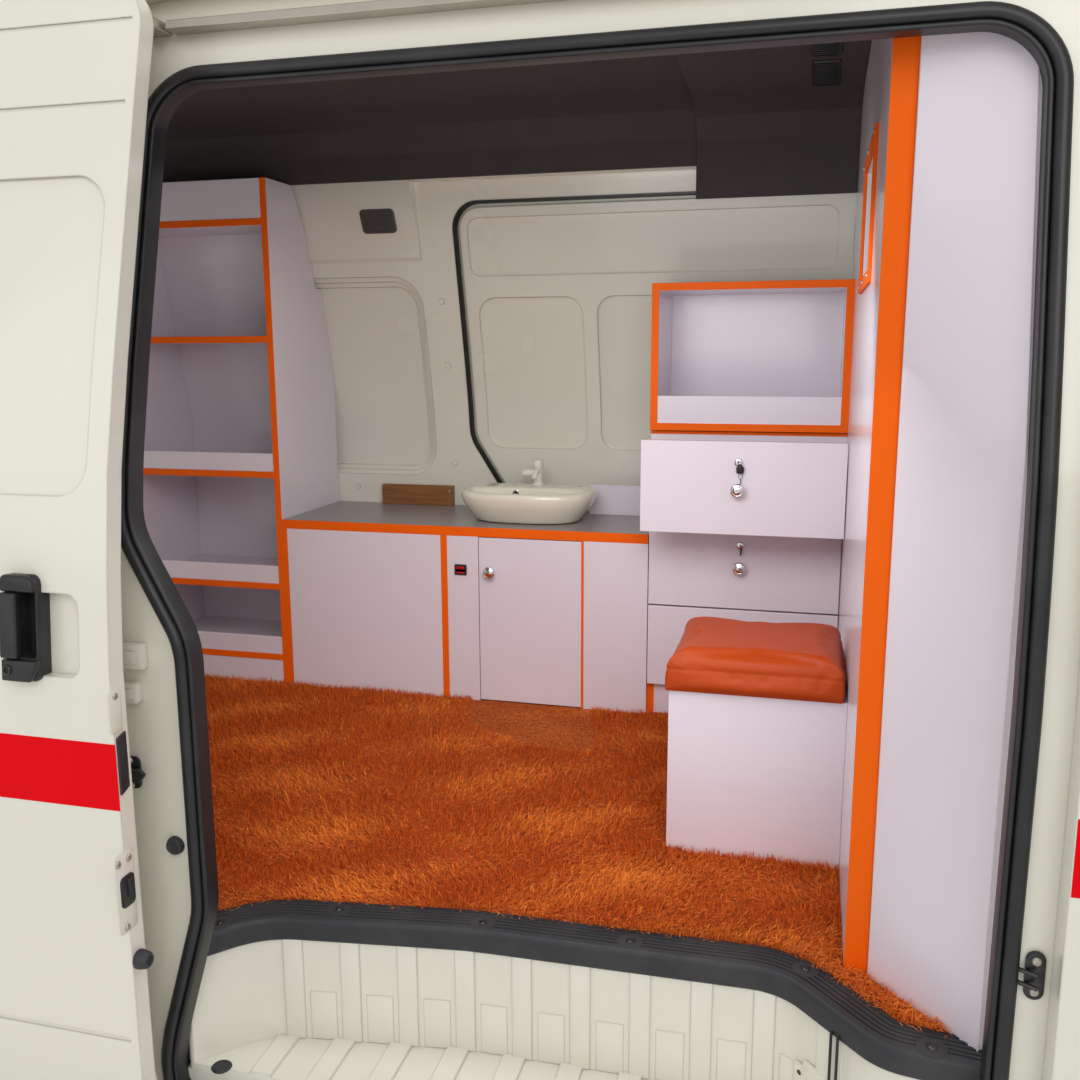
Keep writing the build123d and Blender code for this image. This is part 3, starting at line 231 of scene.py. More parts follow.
def turned(profile, steps=32, place=Matrix()):
    """A turned piece from (radius, height) points in millimetres, spun about its own axis."""
    bpy.ops.object.select_all(action="DESELECT")
    bpy.ops.mesh.primitive_plane_add(size=MM, location=(0, 0, 0))
    obj = bpy.context.object
    bpy.ops.object.mode_set(mode="EDIT")
    mesh = bmesh.from_edit_mesh(obj.data)
    bmesh.ops.delete(mesh, geom=mesh.verts[:], context="VERTS")
    line = [mesh.verts.new((r, 0, h)) for r, h in profile]
    for a, b in zip(line, line[1:]):
        mesh.edges.new((a, b))
    bmesh.update_edit_mesh(obj.data)
    bpy.ops.mesh.select_all(action="SELECT")
    bpy.ops.mesh.spin(steps=steps, angle=math.tau, center=(0, 0, 0), axis=(0, 0, 1))
    return put(closed_up(obj), place @ Matrix.Scale(MM, 4))


def swept(points, profile, closed):
    """A profile swept along a flat path, both in millimetres: a curve beveled by a curve."""
    bpy.ops.object.select_all(action="DESELECT")
    paths = []
    for line, cyclic in ((profile, True), (points, closed)):
        curve = bpy.data.curves.new("path", "CURVE")
        curve.dimensions = "2D"
        spline = curve.splines.new("POLY")
        spline.points.add(len(line) - 1)
        for p, (x, y) in zip(spline.points, line):
            p.co = (x * MM, y * MM, 0, 1)
        spline.use_cyclic_u = cyclic
        obj = bpy.data.objects.new("path", curve)
        bpy.context.scene.collection.objects.link(obj)
        paths.append(obj)
    outline, path = paths
    path.data.fill_mode = "NONE"
    path.data.bevel_mode = "OBJECT"
    path.data.bevel_object = outline
    path.data.use_fill_caps = not closed
    only(path)
    bpy.ops.object.convert(target="MESH")
    bpy.data.objects.remove(outline)
    return bpy.context.object


def facing(place, way, lean=0.0):
    """Places a shape drawn flat, in metres, so that its front faces a way: -Y, +Y, +X or -X."""
    x = Vector({"-Y": (1, 0, 0), "+Y": (-1, 0, 0), "+X": (0, 1, 0), "-X": (0, -1, 0)}[way])
    up = Vector((0, 0, 1))
    turn = Matrix((x, up, x.cross(up))).transposed().to_4x4()
    return at(place) @ turn @ Matrix.Rotation(lean, 4, "X")


def plate(outline, thickness, bevel=0.0, segments=2):
    """A plate from an outline in metres: a filled circle reshaped, extruded and bevelled."""
    bpy.ops.object.select_all(action="DESELECT")
    bpy.ops.mesh.primitive_circle_add(vertices=len(outline), radius=0.1, fill_type="NGON",
                                      location=(0, 0, 0))
    obj = bpy.context.object
    for v, (x, y) in zip(obj.data.vertices, outline):
        v.co = (x, y, 0)
    bpy.ops.object.mode_set(mode="EDIT")
    bpy.ops.mesh.select_all(action="SELECT")
    bpy.ops.mesh.extrude_region_move(TRANSFORM_OT_translate={"value": (0, 0, thickness)})
    bpy.ops.mesh.select_all(action="SELECT")
    bpy.ops.mesh.normals_make_consistent(inside=False)
    bpy.ops.object.mode_set(mode="OBJECT")
    if bevel:
        edges = obj.modifiers.new("edges", "BEVEL")
        edges.width, edges.segments = bevel, segments
        edges.limit_method, edges.angle_limit = "ANGLE", math.radians(40)
        edges.use_clamp_overlap = True
        apply_modifiers(obj)
    return obj


def rounded_box(w, h, r, centre=(0, 0)):
    """Outline of a rectangle with rounded corners, in metres."""
    x, y = centre
    corners = [(x + sx * w / 2, y + sy * h / 2, r)
               for sx, sy in ((-1, -1), (1, -1), (1, 1), (-1, 1))]
    return [tuple(p) for p in rounded(corners, step=18)]


def box_ring(w, h, r, z, centre=(0, 0)):
    """The same outline at a height."""
    return [(x, y, z) for x, y in rounded_box(w, h, r, centre)]


def lofted(rings):
    """A closed shape through rings of equally many points: circles reshaped and bridged."""
    loops = []
    for ring in rings:
        bpy.ops.object.select_all(action="DESELECT")
        bpy.ops.mesh.primitive_circle_add(vertices=len(ring), fill_type="NOTHING",
                                          location=(0, 0, 0))
        loop = bpy.context.object
        for v, p in zip(loop.data.vertices, ring):
            v.co = p
        loops.append(loop)
    obj = joined(loops)
    count = len(rings[0])
    bpy.ops.object.mode_set(mode="EDIT")

    def pick(first, last):
        bpy.ops.mesh.select_all(action="DESELECT")
        mesh = bmesh.from_edit_mesh(obj.data)
        mesh.verts.ensure_lookup_table()
        for v in mesh.verts[first * count:(last + 1) * count]:
            v.select = True
        mesh.select_flush(True)
        bmesh.update_edit_mesh(obj.data)

    for i in range(len(rings) - 1):
        pick(i, i + 1)
        bpy.ops.mesh.bridge_edge_loops()
    for end in (0, len(rings) - 1):
        pick(end, end)
        bpy.ops.mesh.edge_face_add()
    bpy.ops.mesh.select_all(action="SELECT")
    bpy.ops.mesh.normals_make_consistent(inside=False)
    bpy.ops.object.mode_set(mode="OBJECT")
    return obj


def joined(objs):
    """Several finished shapes as one."""
    bpy.ops.object.select_all(action="DESELECT")
    for obj in objs:
        obj.select_set(True)
    bpy.context.view_layer.objects.active = objs[0]
    bpy.ops.object.join()
    return bpy.context.object


def copied(obj, matrices):
    """Copies of a shape, each with its own mesh, at the places given. The shape itself goes."""
    made = []
    for m in matrices:
        twin = bpy.data.objects.new(obj.name, obj.data.copy())
        bpy.context.scene.collection.objects.link(twin)
        made.append(put(twin, m))
    bpy.data.objects.remove(obj)
    return made


def softened(name, width=None):
    """A merged, smoothed copy of a carried-over piece, its edges bevelled to a width if given."""
    limit = math.radians(28)             # flatter edges stay unbevelled
    node = frame["nodes"][name]
    obj = bpy.data.objects.new(name + "_finished", node.data.copy())
    bpy.context.scene.collection.objects.link(obj)
    only(obj)
    bpy.ops.object.mode_set(mode="EDIT")
    bpy.ops.mesh.select_all(action="SELECT")
    bpy.ops.mesh.remove_doubles(threshold=MERGE)
    bpy.ops.mesh.customdata_custom_splitnormals_clear()
    bpy.ops.mesh.dissolve_limited(angle_limit=math.radians(0.5))
    bpy.ops.object.mode_set(mode="OBJECT")
    if width:
        mesh = bmesh.new()
        mesh.from_mesh(obj.data)
        weight = mesh.edges.layers.float.new("bevel_weight_edge")
        for edge in mesh.edges:
            if len(edge.link_faces) == 2 and edge.calc_face_angle() > limit:
                narrow = min(2 * f.calc_area() / max(f.calc_perimeter(), 1e-6)
                             for f in edge.link_faces)
                edge[weight] = min(1, 0.36 * narrow / width)
        mesh.to_mesh(obj.data)
        mesh.free()
    only(obj)
    bpy.ops.object.shade_smooth_by_angle(angle=math.radians(40) if width else limit)
    if width:
        edges = obj.modifiers.new("edges", "BEVEL")
        edges.width, edges.segments, edges.limit_method = width, 2, "WEIGHT"
        edges.use_clamp_overlap = False
    even = obj.modifiers.new("even", "WEIGHTED_NORMAL")
    even.keep_sharp, even.weight = True, 80
    apply_modifiers(obj)
    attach(obj, node["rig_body"])
    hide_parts(name)


def skin_place(x, z, out, side=-1):
    """A point on the side's skin moved out by a distance, all in millimetres, given in metres."""
    return Vector((x, side * (half_width(z) + out), z)) * MM


def lean_at(z):
    """Angle by which the side leans in at a height."""
    return math.atan2(half_width(z - 20) - half_width(z + 20), 40)


def screw_head(radius):
    """A pan head with a cross slot, from its radius in millimetres."""
    head = turned([(0, 0.0), (radius, 0.0), (radius, 0.25 * radius), (0.8 * radius, 0.5 * radius),
                   (0.35 * radius, 0.62 * radius), (0, 0.64 * radius)], 16)
    r = radius * MM
    slots = [put(plate(rounded_box(w * r, h * r, 0.02 * r), 0.1 * r), at((0, 0, 0.57 * r)))
             for w, h in ((1.1, 0.22), (0.22, 1.1))]
    return joined([head, *slots])


# Materials

def material(name, color, roughness=0.5, metallic=0.0, coat=0.0, sheen=0.0, specular=0.5):
    """A new material with plain values, kept under its name. Returns it, its nodes and shader."""
    made = FINISH[name] = bpy.data.materials.new(name)
    made.use_nodes = True
    nodes = made.node_tree.nodes
    shader = nodes["Principled BSDF"]
    shader.inputs["Base Color"].default_value = (*color[:3], 1)
    shader.inputs["Roughness"].default_value = roughness
    shader.inputs["Metallic"].default_value = metallic
    shader.inputs["Coat Weight"].default_value = coat
    shader.inputs["Coat Roughness"].default_value = 0.08
    shader.inputs["Sheen Weight"].default_value = sheen
    shader.inputs["Specular IOR Level"].default_value = specular
    return made, nodes, shader


def group_tree(name, inputs, outputs):
    """An empty node group with its sockets. Returns it and its two end nodes."""
    tree = bpy.data.node_groups.new(name, "ShaderNodeTree")
    for label, kind, value in inputs:
        tree.interface.new_socket(label, in_out="INPUT", socket_type=kind).default_value = value
    for label, kind in outputs:
        tree.interface.new_socket(label, in_out="OUTPUT", socket_type=kind)
    return tree, tree.nodes.new("NodeGroupInput"), tree.nodes.new("NodeGroupOutput")


def soiling_group():
    """Faint cloudy change of a colour, and of roughness, over a surface."""
    tree, given, out = group_tree(
        "Soiling",
        [("Color", "NodeSocketColor", (1, 1, 1, 1)),
         ("Dirt", "NodeSocketColor", (0.3, 0.26, 0.2, 1)),
         ("Amount", "NodeSocketFloat", 0.1), ("Scale", "NodeSocketFloat", 3.0),
         ("Roughness", "NodeSocketFloat", 0.3)],
        [("Color", "NodeSocketColor"), ("Roughness", "NodeSocketFloat")])
    add, link = tree.nodes.new, tree.links.new
    place = add("ShaderNodeTexCoord")
    cloud = add("ShaderNodeTexNoise")
    cloud.inputs["Detail"].default_value = 3
    cloud.inputs["Roughness"].default_value = 0.65
    link(place.outputs["Object"], cloud.inputs["Vector"])
    link(given.outputs["Scale"], cloud.inputs["Scale"])
    ramp = add("ShaderNodeMapRange")
    ramp.inputs["From Min"].default_value = 0.45
    ramp.inputs["From Max"].default_value = 0.8
    link(cloud.outputs["Fac"], ramp.inputs["Value"])
    share = add("ShaderNodeMath")
    share.operation = "MULTIPLY"
    link(ramp.outputs["Result"], share.inputs[0])
    link(given.outputs["Amount"], share.inputs[1])
    mix = add("ShaderNodeMix")
    mix.data_type = "RGBA"
    link(share.outputs[0], mix.inputs["Factor"])
    link(given.outputs["Color"], mix.inputs["A"])
    link(given.outputs["Dirt"], mix.inputs["B"])
    rough = add("ShaderNodeMath")
    rough.operation = "MULTIPLY_ADD"
    link(ramp.outputs["Result"], rough.inputs[0])
    rough.inputs[1].default_value = 0.05
    link(given.outputs["Roughness"], rough.inputs[2])
    link(mix.outputs["Result"], out.inputs["Color"])
    link(rough.outputs[0], out.inputs["Roughness"])
    return tree


def grain_group():
    """Height of a fine grain with a broader waviness under it."""
    tree, given, out = group_tree(
        "Grain",
        [("Fine Scale", "NodeSocketFloat", 400.0), ("Broad Scale", "NodeSocketFloat", 6.0),
         ("Broad", "NodeSocketFloat", 0.5)],
        [("Height", "NodeSocketFloat")])
    add, link = tree.nodes.new, tree.links.new
    place = add("ShaderNodeTexCoord")
    fine, broad = add("ShaderNodeTexNoise"), add("ShaderNodeTexNoise")
    for noise, source in ((fine, "Fine Scale"), (broad, "Broad Scale")):
        link(place.outputs["Object"], noise.inputs["Vector"])
        link(given.outputs[source], noise.inputs["Scale"])
        noise.inputs["Detail"].default_value = 0.5
    total = add("ShaderNodeMath")
    total.operation = "MULTIPLY_ADD"
    link(broad.outputs["Fac"], total.inputs[0])
    link(given.outputs["Broad"], total.inputs[1])
    link(fine.outputs["Fac"], total.inputs[2])
    link(total.outputs[0], out.inputs["Height"])
    return tree


def use_group(nodes, tree, **values):
    node = nodes.new("ShaderNodeGroup")
    node.node_tree = tree
    for label, value in values.items():
        node.inputs[label.replace("_", " ")].default_value = value
    return node


def add_bump(made, nodes, shader, height, strength, distance, edge=0.0):
    """A bump on a shader's normal, over edges rounded by a radius."""
    bump = nodes.new("ShaderNodeBump")
    if edge:
        rounding = nodes.new("ShaderNodeBevel")
        rounding.samples = 2
        rounding.inputs["Radius"].default_value = edge
        made.node_tree.links.new(rounding.outputs["Normal"], bump.inputs["Normal"])
    bump.inputs["Strength"].default_value = strength
    bump.inputs["Distance"].default_value = distance
    made.node_tree.links.new(height, bump.inputs["Height"])
    made.node_tree.links.new(bump.outputs["Normal"], shader.inputs["Normal"])


def surface(name, color, roughness, dirt=(0.3, 0.26, 0.2), amount=0.08, scale=3.0, grain=400.0,
            broad_scale=6.0, broad=0.5, bump=0.05, depth=0.0004, edge=0.0, **shader_values):
    """The usual finish: a colour with soiling, and a grain under it."""
    made, nodes, shader = material(name, color, roughness, **shader_values)
    link = made.node_tree.links.new
    soil = use_group(nodes, GROUPS["soiling"], Color=(*color[:3], 1), Dirt=(*dirt, 1),
                     Amount=amount, Scale=scale, Roughness=roughness)
    link(soil.outputs["Color"], shader.inputs["Base Color"])
    link(soil.outputs["Roughness"], shader.inputs["Roughness"])
    grit = use_group(nodes, GROUPS["grain"], Fine_Scale=grain, Broad_Scale=broad_scale, Broad=broad)
    add_bump(made, nodes, shader, grit.outputs["Height"], bump, depth, edge)


def colour(name, description, default):
    return FloatVectorProperty(name=name, description=description, subtype="COLOR", size=3,
                               min=0, max=1, default=default)


def measure(name, description, low, high, default, unit="LENGTH"):
    return FloatProperty(name=name, description=description, unit=unit, min=low, max=high,
                         default=default)


class AmbulanceColours(bpy.types.PropertyGroup):
    paint: colour("Body paint", "Cream-white body paint", (0.78, 0.76, 0.66))
    laminate: colour("Laminate", "Pale lavender-white furniture board", (0.76, 0.69, 0.76))
    edging: colour("Edging", "Orange edging of boards and partition", (0.90, 0.13, 0.004))
    carpet: colour("Carpet", "Shaggy carpet pile", (0.86, 0.15, 0.018))
    leatherette: colour("Leatherette", "Bench cushion cover", (0.42, 0.050, 0.004))
    stripe: colour("Stripe", "Side stripe", (0.78, 0.0, 0.006))
    lining: colour("Lining", "Moulded roof lining", (0.052, 0.044, 0.042))


class AmbulanceSizes(bpy.types.PropertyGroup):
    metal_edge: measure("Metal edge", "Rounding of pressed metal's edges", 0.0005, 0.01, 0.004)
    board_edge: measure("Board edge", "Rounding of the boards' edges", 0.0002, 0.004, 0.0012)
    pile: measure("Pile", "Length of the carpet's tufts", 0.002, 0.03, 0.020)
    fibre: measure("Fibre", "Width of a tuft", 0.0005, 0.005, 0.0019)
    tufts: IntProperty(name="Tufts", description="Tufts in each quarter of the carpet",
                       min=1000, max=65000, default=60000)
    swell: measure("Swell", "Most that the cushion's cover may swell", 0.001, 0.02, 0.0068)
    doorway_light: measure("Doorway light", "Light through the doorway", 0, 100, 5.5, "POWER")
    cabin_light: measure("Cabin light", "Light from above in the cabin", 0, 100, 2, "POWER")
    lens: measure("Lens", "Camera lens in millimetres", 10, 200, 34.70, "NONE")


class AMBULANCE_OT_finishes(bpy.types.Operator):
    """Makes the materials and gives them to the carried-over pieces"""
    bl_idname = "ambulance.finishes"
    bl_label = "Finishes"

    def execute(self, context):
        colours = context.scene.ambulance_colours
        GROUPS["soiling"], GROUPS["grain"] = soiling_group(), grain_group()
        surface("body_paint", colours.paint, 0.24, amount=0.05, scale=2.2, grain=900,
                broad_scale=3, broad=1.5, bump=0.04, coat=0.6,
                edge=context.scene.ambulance_sizes.metal_edge)
        surface("laminate", colours.laminate, 0.22, (0.52, 0.46, 0.52), amount=0.06, scale=2.0,
                grain=1200, broad_scale=4, broad=1.2, bump=0.03, coat=0.15)
        surface("worktop_laminate", (0.27, 0.245, 0.245), 0.28, amount=0.10, grain=1500, bump=0.04)
        surface("edging_orange", colours.edging, 0.5, (0.45, 0.05, 0.0), scale=6, grain=900,
                bump=0.03, specular=0.1)
        surface("floor_steel", (0.60, 0.58, 0.50), 0.45, amount=0.35, scale=5, bump=0.1)
        surface("frame_steel", (0.03, 0.03, 0.033), 0.5, (0.2, 0.15, 0.1), amount=0.35, scale=6,
                bump=0.12)
        surface("carpet_backing", [c * 0.55 for c in colours.carpet], 0.95, (0.2, 0.02, 0.0),
                amount=0.4, scale=60, grain=250, bump=0.6, depth=0.004)
        surface("tread_rubber", (0.022, 0.023, 0.027), 0.55, (0.16, 0.14, 0.12), amount=0.25,
                scale=8, grain=600, bump=0.15)
        surface("seal_rubber", (0.012, 0.012, 0.014), 0.38, (0.09, 0.085, 0.08), amount=0.22,
                scale=7, grain=500, bump=0.08)
        surface("black_plastic", (0.014, 0.014, 0.016), 0.36, (0.1, 0.1, 0.1), amount=0.15,
                scale=9, grain=1100, bump=0.12)
        surface("rail_metal", (0.52, 0.49, 0.42), 0.34, amount=0.3, scale=9, grain=700, bump=0.06,
                metallic=0.75)
        surface("dark_metal", (0.06, 0.06, 0.065), 0.35, amount=0.3, scale=20, grain=900,
                bump=0.08, metallic=0.9)
        surface("stripe_red", colours.stripe, 0.5, (0.4, 0.0, 0.0), amount=0.04, bump=0.02,
                specular=0.08)
        surface("headliner_dark", colours.lining, 0.85, (0.09, 0.075, 0.07), amount=0.35,
                scale=12, grain=700, bump=0.25, depth=0.0008)
        surface("chrome_fittings", (0.82, 0.82, 0.83), 0.09, amount=0.06, scale=30, bump=0.01,
                metallic=1.0)
        surface("ceramic", (0.80, 0.75, 0.62), 0.10, (0.55, 0.48, 0.36), amount=0.10, scale=5,
                grain=300, bump=0.015, coat=0.5)
        surface("tap_plastic", (0.78, 0.75, 0.68), 0.22, bump=0.02)
        surface("leatherette", colours.leatherette, 0.40, (0.26, 0.03, 0.004), amount=0.14,
                scale=7, grain=1300, broad_scale=14, broad=0.8, bump=0.18, depth=0.0005,
                specular=0.18)
        self.wood()
        self.pane()
        surface("switch_red", (0.62, 0.012, 0.02), 0.22, (0.3, 0, 0), amount=0.1, bump=0.02)
        surface("grille_grey", (0.075, 0.07, 0.066), 0.5, (0.16, 0.15, 0.13), amount=0.3, scale=9,
                grain=900, bump=0.12)
        for name, slot in SLOTS.items():
            node = frame["nodes"][name]
            node.data.materials.clear()
            node.data.materials.append(FINISH["carpet_backing" if slot == "carpet_pile" else slot])
        return {"FINISHED"}

    def wood(self):
        made, nodes, shader = material("batten_wood", (0.26, 0.10, 0.025), 0.5)
        link = made.node_tree.links.new
        place = nodes.new("ShaderNodeTexCoord")
        stretch = nodes.new("ShaderNodeMapping")
        stretch.inputs["Scale"].default_value = (3, 40, 40)
        rings = nodes.new("ShaderNodeTexNoise")
        rings.inputs["Scale"].default_value = 2.5
        rings.inputs["Detail"].default_value = 8
        ramp = nodes.new("ShaderNodeValToRGB")
        for element, position, shade in zip(ramp.color_ramp.elements, (0.35, 0.65),
                                            ((0.21, 0.078, 0.020, 1), (0.31, 0.125, 0.034, 1))):
            element.position, element.color = position, shade
        link(place.outputs["Object"], stretch.inputs["Vector"])
        link(stretch.outputs["Vector"], rings.inputs["Vector"])
        link(rings.outputs["Fac"], ramp.inputs["Fac"])
        link(ramp.outputs["Color"], shader.inputs["Base Color"])
        add_bump(made, nodes, shader, rings.outputs["Fac"], 0.2, 0.0006)

    def pane(self):
        shader = material("hatch_glass", (0.10, 0.10, 0.11), 0.06)[2]
        shader.inputs["Transmission Weight"].default_value = 0.55
        shader.inputs["IOR"].default_value = 1.45


class AMBULANCE_OT_bodywork(bpy.types.Operator):
    """Merges and smooths the body, doors, floor and step, and rounds its smaller metal parts"""
    bl_idname = "ambulance.bodywork"
    bl_label = "Bodywork"

    def execute(self, context):
        for name in ("near_side", "far_side", "near_door", "far_door", "step_well", "floor_pan"):
            softened(name)
        size = context.scene.ambulance_sizes.metal_edge
        for name in ("rear_frame", "roof_skin", "door_rails", "door_carriages", "column_runners",
                     "floor_frame", "headliner", "headliner_front"):
            softened(name, size / 2)
        return {"FINISHED"}


class AMBULANCE_OT_boards(bpy.types.Operator):
    """Rounds the edges of the furniture boards, their edging and the partition"""
    bl_idname = "ambulance.boards"
    bl_label = "Boards"

    def execute(self, context):
        size = context.scene.ambulance_sizes.board_edge
        for name in ("partition", "closure_panel", "shelf_unit", "shelf_back", "shelf_boards",
                     "shelf_lips", "base_carcass", "base_panels", "cupboard_door", "backsplash",
                     "column_carcass", "drawer_1", "drawer_2", "drawer_3", "top_box", "bench_box",
                     "worktop", "wall_batten"):
            softened(name, size)
        for name in ("partition_edging", "hatch_frame", "shelf_edging", "base_edging",
                     "worktop_edging", "column_edging", "top_box_edging"):
            softened(name, size * 0.6)
        return {"FINISHED"}


class AMBULANCE_OT_seals(bpy.types.Operator):
    """Makes the bulb seals round the two door apertures"""
    bl_idname = "ambulance.seals"
    bl_label = "Door seals"

    def execute(self, context):
        # across, less than 0 outwards from the aperture's edge, and out from the wall: a clip, a
        # lip and a bulb
        lip = [(2 - 4 * math.cos(a), 5 + 4 * math.sin(a))
               for a in (math.radians(180 - 27 * k) for k in range(8))]
        bulb = [(-13 - 10.5 * math.cos(a), 4 + 10 * math.sin(a))
                for a in (math.radians(195 - 16.2 * k) for k in range(14))]
        profile = [(6, -24), *lip, *bulb, (-22.5, 0), (0.5, 0), (0.5, -24)]
        for name, side, node in (("near_door_seal", -1, "near_seal"),
                                 ("far_door_seal", 1, "far_seal")):
            seal = swept(dense(rounded(APERTURE, step=6), 25), profile, closed=True)
            for v in seal.data.vertices:
                x, z, out = v.co
                v.co = (x, side * ((half_width(z / MM) - POCKET) * MM + out), z)
            closed_up(seal)
            finish_piece(seal, name, "seal_rubber", smooth=50, stands_for=node)
        return {"FINISHED"}


class AMBULANCE_OT_tread(bpy.types.Operator):
    """Makes the ribbed tread strip with its rounded nose, its screw bosses and their screws"""
    bl_idname = "ambulance.tread"
    bl_label = "Tread strip"

    def execute(self, context):
        nose = [(1 + 8 * math.cos(a), 8 + 10 * math.sin(a))
                for a in (math.radians(6 + 14 * k) for k in range(7))]
        profile = [(0, -22), (6, -22), (8.4, -19), (9, -14), *nose]
        for k in range(5):
            x = -8 - k * 9
            profile += [(x, 18), (x - 0.8, 15.5), (x - 3.2, 15.5), (x - 4, 18)]
        profile += [(-54, 18), (-56, 15), (-56, 0), (0, 0)]
        path = [(p.x, -p.y) for p in rounded(STEP_EDGE, closed=False, step=5)]
        strip = put(swept(path, profile, closed=False), at((0, 0, FLOOR_Z)))
        finish_piece(strip, "tread_ribbed", "tread_rubber", smooth=30, stands_for="tread_strip")
        boss = turned([(0, 0), (21, 0), (20.5, 0.5), (17, 0.8), (9.5, 0.9), (8.5, -1.2), (0, -1.2)],
                      steps=28)
        head = put(screw_head(7), at((0, 0, -0.0012)))
        for part, name, finish in ((boss, "tread_bosses", "tread_rubber"),
                                   (head, "tread_screws", "dark_metal")):
            spots = [at((x, y, FLOOR_Z + 0.0178)) for x, y in TREAD_SCREWS]
            finish_piece(joined(copied(part, spots)), name, finish, smooth=40)
        return {"FINISHED"}


class AMBULANCE_OT_step(bpy.types.Operator):
    """Makes the ribs pressed into the riser, and the step's plug, pad and rods"""
    bl_idname = "ambulance.step"
    bl_label = "Step details"

    def execute(self, context):
        self.ribs()
        plug = turned([(0, -1), (16, -1), (17, 0.6), (15, 2.6), (12, 3.2), (10, 2.2), (6, 1.8),
                       (0, 3)], place=at((-0.985, -0.795, 0.1752)))
        finish_piece(plug, "step_plug", "tread_rubber", smooth=40)
        along = Vector((0.692, -0.722, 0))
        out = Vector((-0.722, -0.692, 0))
        foot = Vector((-0.025, -0.712, 0.2475)) + out * 0.001
        place = at(foot) @ Matrix((along, Vector((0, 0, 1)), out)).transposed().to_4x4()
        outline = rounded([(-0.0575, -0.0375, 0.006), (0.0525, -0.0375, 0.006),
                           (0.0525, 0.0375, 0.006), (-0.038, 0.0375, 0.006),
                           (-0.038, 0.026, 0.004), (-0.0575, 0.026, 0.006)], step=18)
        finish_piece(put(plate(outline, 0.005, bevel=0.002), place), "step_pad", "body_paint")
        # black discs laid on the pad stand for its two holes: painted shade in the holes
        holes = [turned([(0, 0), (4.2, 0), (4.2, 0.3), (0, 0.3)], 16, place @ at((x, y, 0.005)))
                 for x, y in ((-0.044, 0.012), (0.036, 0.004))]
        finish_piece(joined(holes), "step_pad_hole_shade", "black_plastic", smooth=0)
        rods = [turned([(0, 0), (1.6, 0), (2.2, 1.2), (2.2, 190), (1.6, 191.5), (0, 191.5)], 12,
                       at((-0.018 + 0.009 * k, -0.736 - 0.0094 * k, 0.1802))) for k in (0, 1)]
        finish_piece(joined(rods), "step_rods", "black_plastic", smooth=40)
        return {"FINISHED"}

    def ribs(self):
        """Raised bars up the riser over the step's ribs, and a lower swage between each two."""
        line = [(p.x, p.y) for p in rounded(STEP_EDGE, closed=False)]

        def end(x):
            (ax, ay), (bx, by) = next((a, b) for a, b in zip(line, line[1:]) if a[0] <= x <= b[0])
            return x, ay + (by - ay) * (x - ax) / (bx - ax)

        def bar(x0, x1, out, height, bevel):
            run = [Vector(p) for p in (end(x0), *(p for p in line if x0 < p[0] < x1), end(x1))]
            outer = []
            for i, p in enumerate(run):
                way = (run[min(i + 1, len(run) - 1)] - run[max(i - 1, 0)]).normalized()
                outer.append(p + out * Vector((-way.y, way.x)))
            inner = [p - Vector((-way.y, way.x)) * 1.5 for p in run]
            outline = [(p.x * MM, -p.y * MM) for p in (*inner, *reversed(outer))]
            return put(plate(outline, height, bevel=bevel), at((0, 0, 0.176)))

        bars = []
        for k in range(10):
            x = -899 + 98 * k                # the step's own ribs stand at this pitch
            bars.append(bar(x - 17, x + 17, 4.5, 0.200, 0.0018))
            if k < 9:
                bars.append(bar(x + 26, x + 72, 2.2, 0.090, 0.001))
        finish_piece(joined(bars), "riser_ribs", "body_paint")


class AMBULANCE_OT_handles(bpy.types.Operator):
    """Makes the recessed door handles with their grips and key barrels"""
    bl_idname = "ambulance.handles"
    bl_label = "Door handles"

    def execute(self, context):
        cup = lofted([box_ring(*values) for values in (
            (0.064, 0.150, 0.012, -0.0175), (0.068, 0.154, 0.015, 0.004),
            (0.066, 0.152, 0.014, 0.0075), (0.062, 0.148, 0.012, 0.009),
            (0.034, 0.098, 0.006, 0.009, (0.0125, 0.006)),
            (0.032, 0.096, 0.005, 0.0075, (0.0125, 0.006)),
            (0.030, 0.094, 0.004, -0.013, (0.0125, 0.006)))])
        parts = [cup]
        for outline, thickness, bevel, rise in (
                ([(-0.033, 0.052), (0.033, 0.052), (0.034, 0.060), (0.027, 0.072), (0.016, 0.0765),
                  (-0.027, 0.0765), (-0.034, 0.070)], 0.016, 0.0045, 0.003),
                (rounded_box(0.034, 0.094, 0.004, (-0.0165, 0.004)), 0.014, 0.004, 0.0075),
                ([(-0.034, -0.076), (0.021, -0.076), (0.033, -0.060), (0.0345, -0.045),
                  (-0.034, -0.045)], 0.013, 0.003, 0.005)):
            parts.append(put(plate(outline, thickness, bevel, segments=3), at((0, 0, rise))))
        keyhole = at((-0.021, -0.060, 0.0182))
        barrel = turned([(0, 0.0008), (4.6, 0.0008), (5.0, 1.8), (6.6, 2.2), (7.4, 1.6), (7.4, -1),
                         (0, -1)], 28, keyhole)
        # a thin black plate on each barrel's face stands for the keyway: painted shade in the slot
        slot = put(plate(rounded_box(0.0012, 0.0064, 0.0003), 0.0003), keyhole @ at((0, 0, 0.0009)))
        x, z = 105, 959
        slim = at((-0.006, 0, 0)) @ Matrix.Scale(0.84, 4, (1, 0, 0))
        spots = [spot @ slim for spot in (
            facing(skin_place(x - DOOR_BACK, z, DOOR_OUT), "-Y", -lean_at(z)),
            facing(skin_place(x, z, 0, side=1), "+Y", -lean_at(z)))]
        for part, name, finish, node in ((joined(parts), "handle_grips", "black_plastic",
                                          "door_handles"),
                                         (barrel, "handle_barrels", "dark_metal", None),
                                         (slot, "handle_keyway_shade", "black_plastic", None)):
            finish_piece(joined(copied(part, spots)), name, finish, smooth=40,
                         stands_for=node)
        return {"FINISHED"}


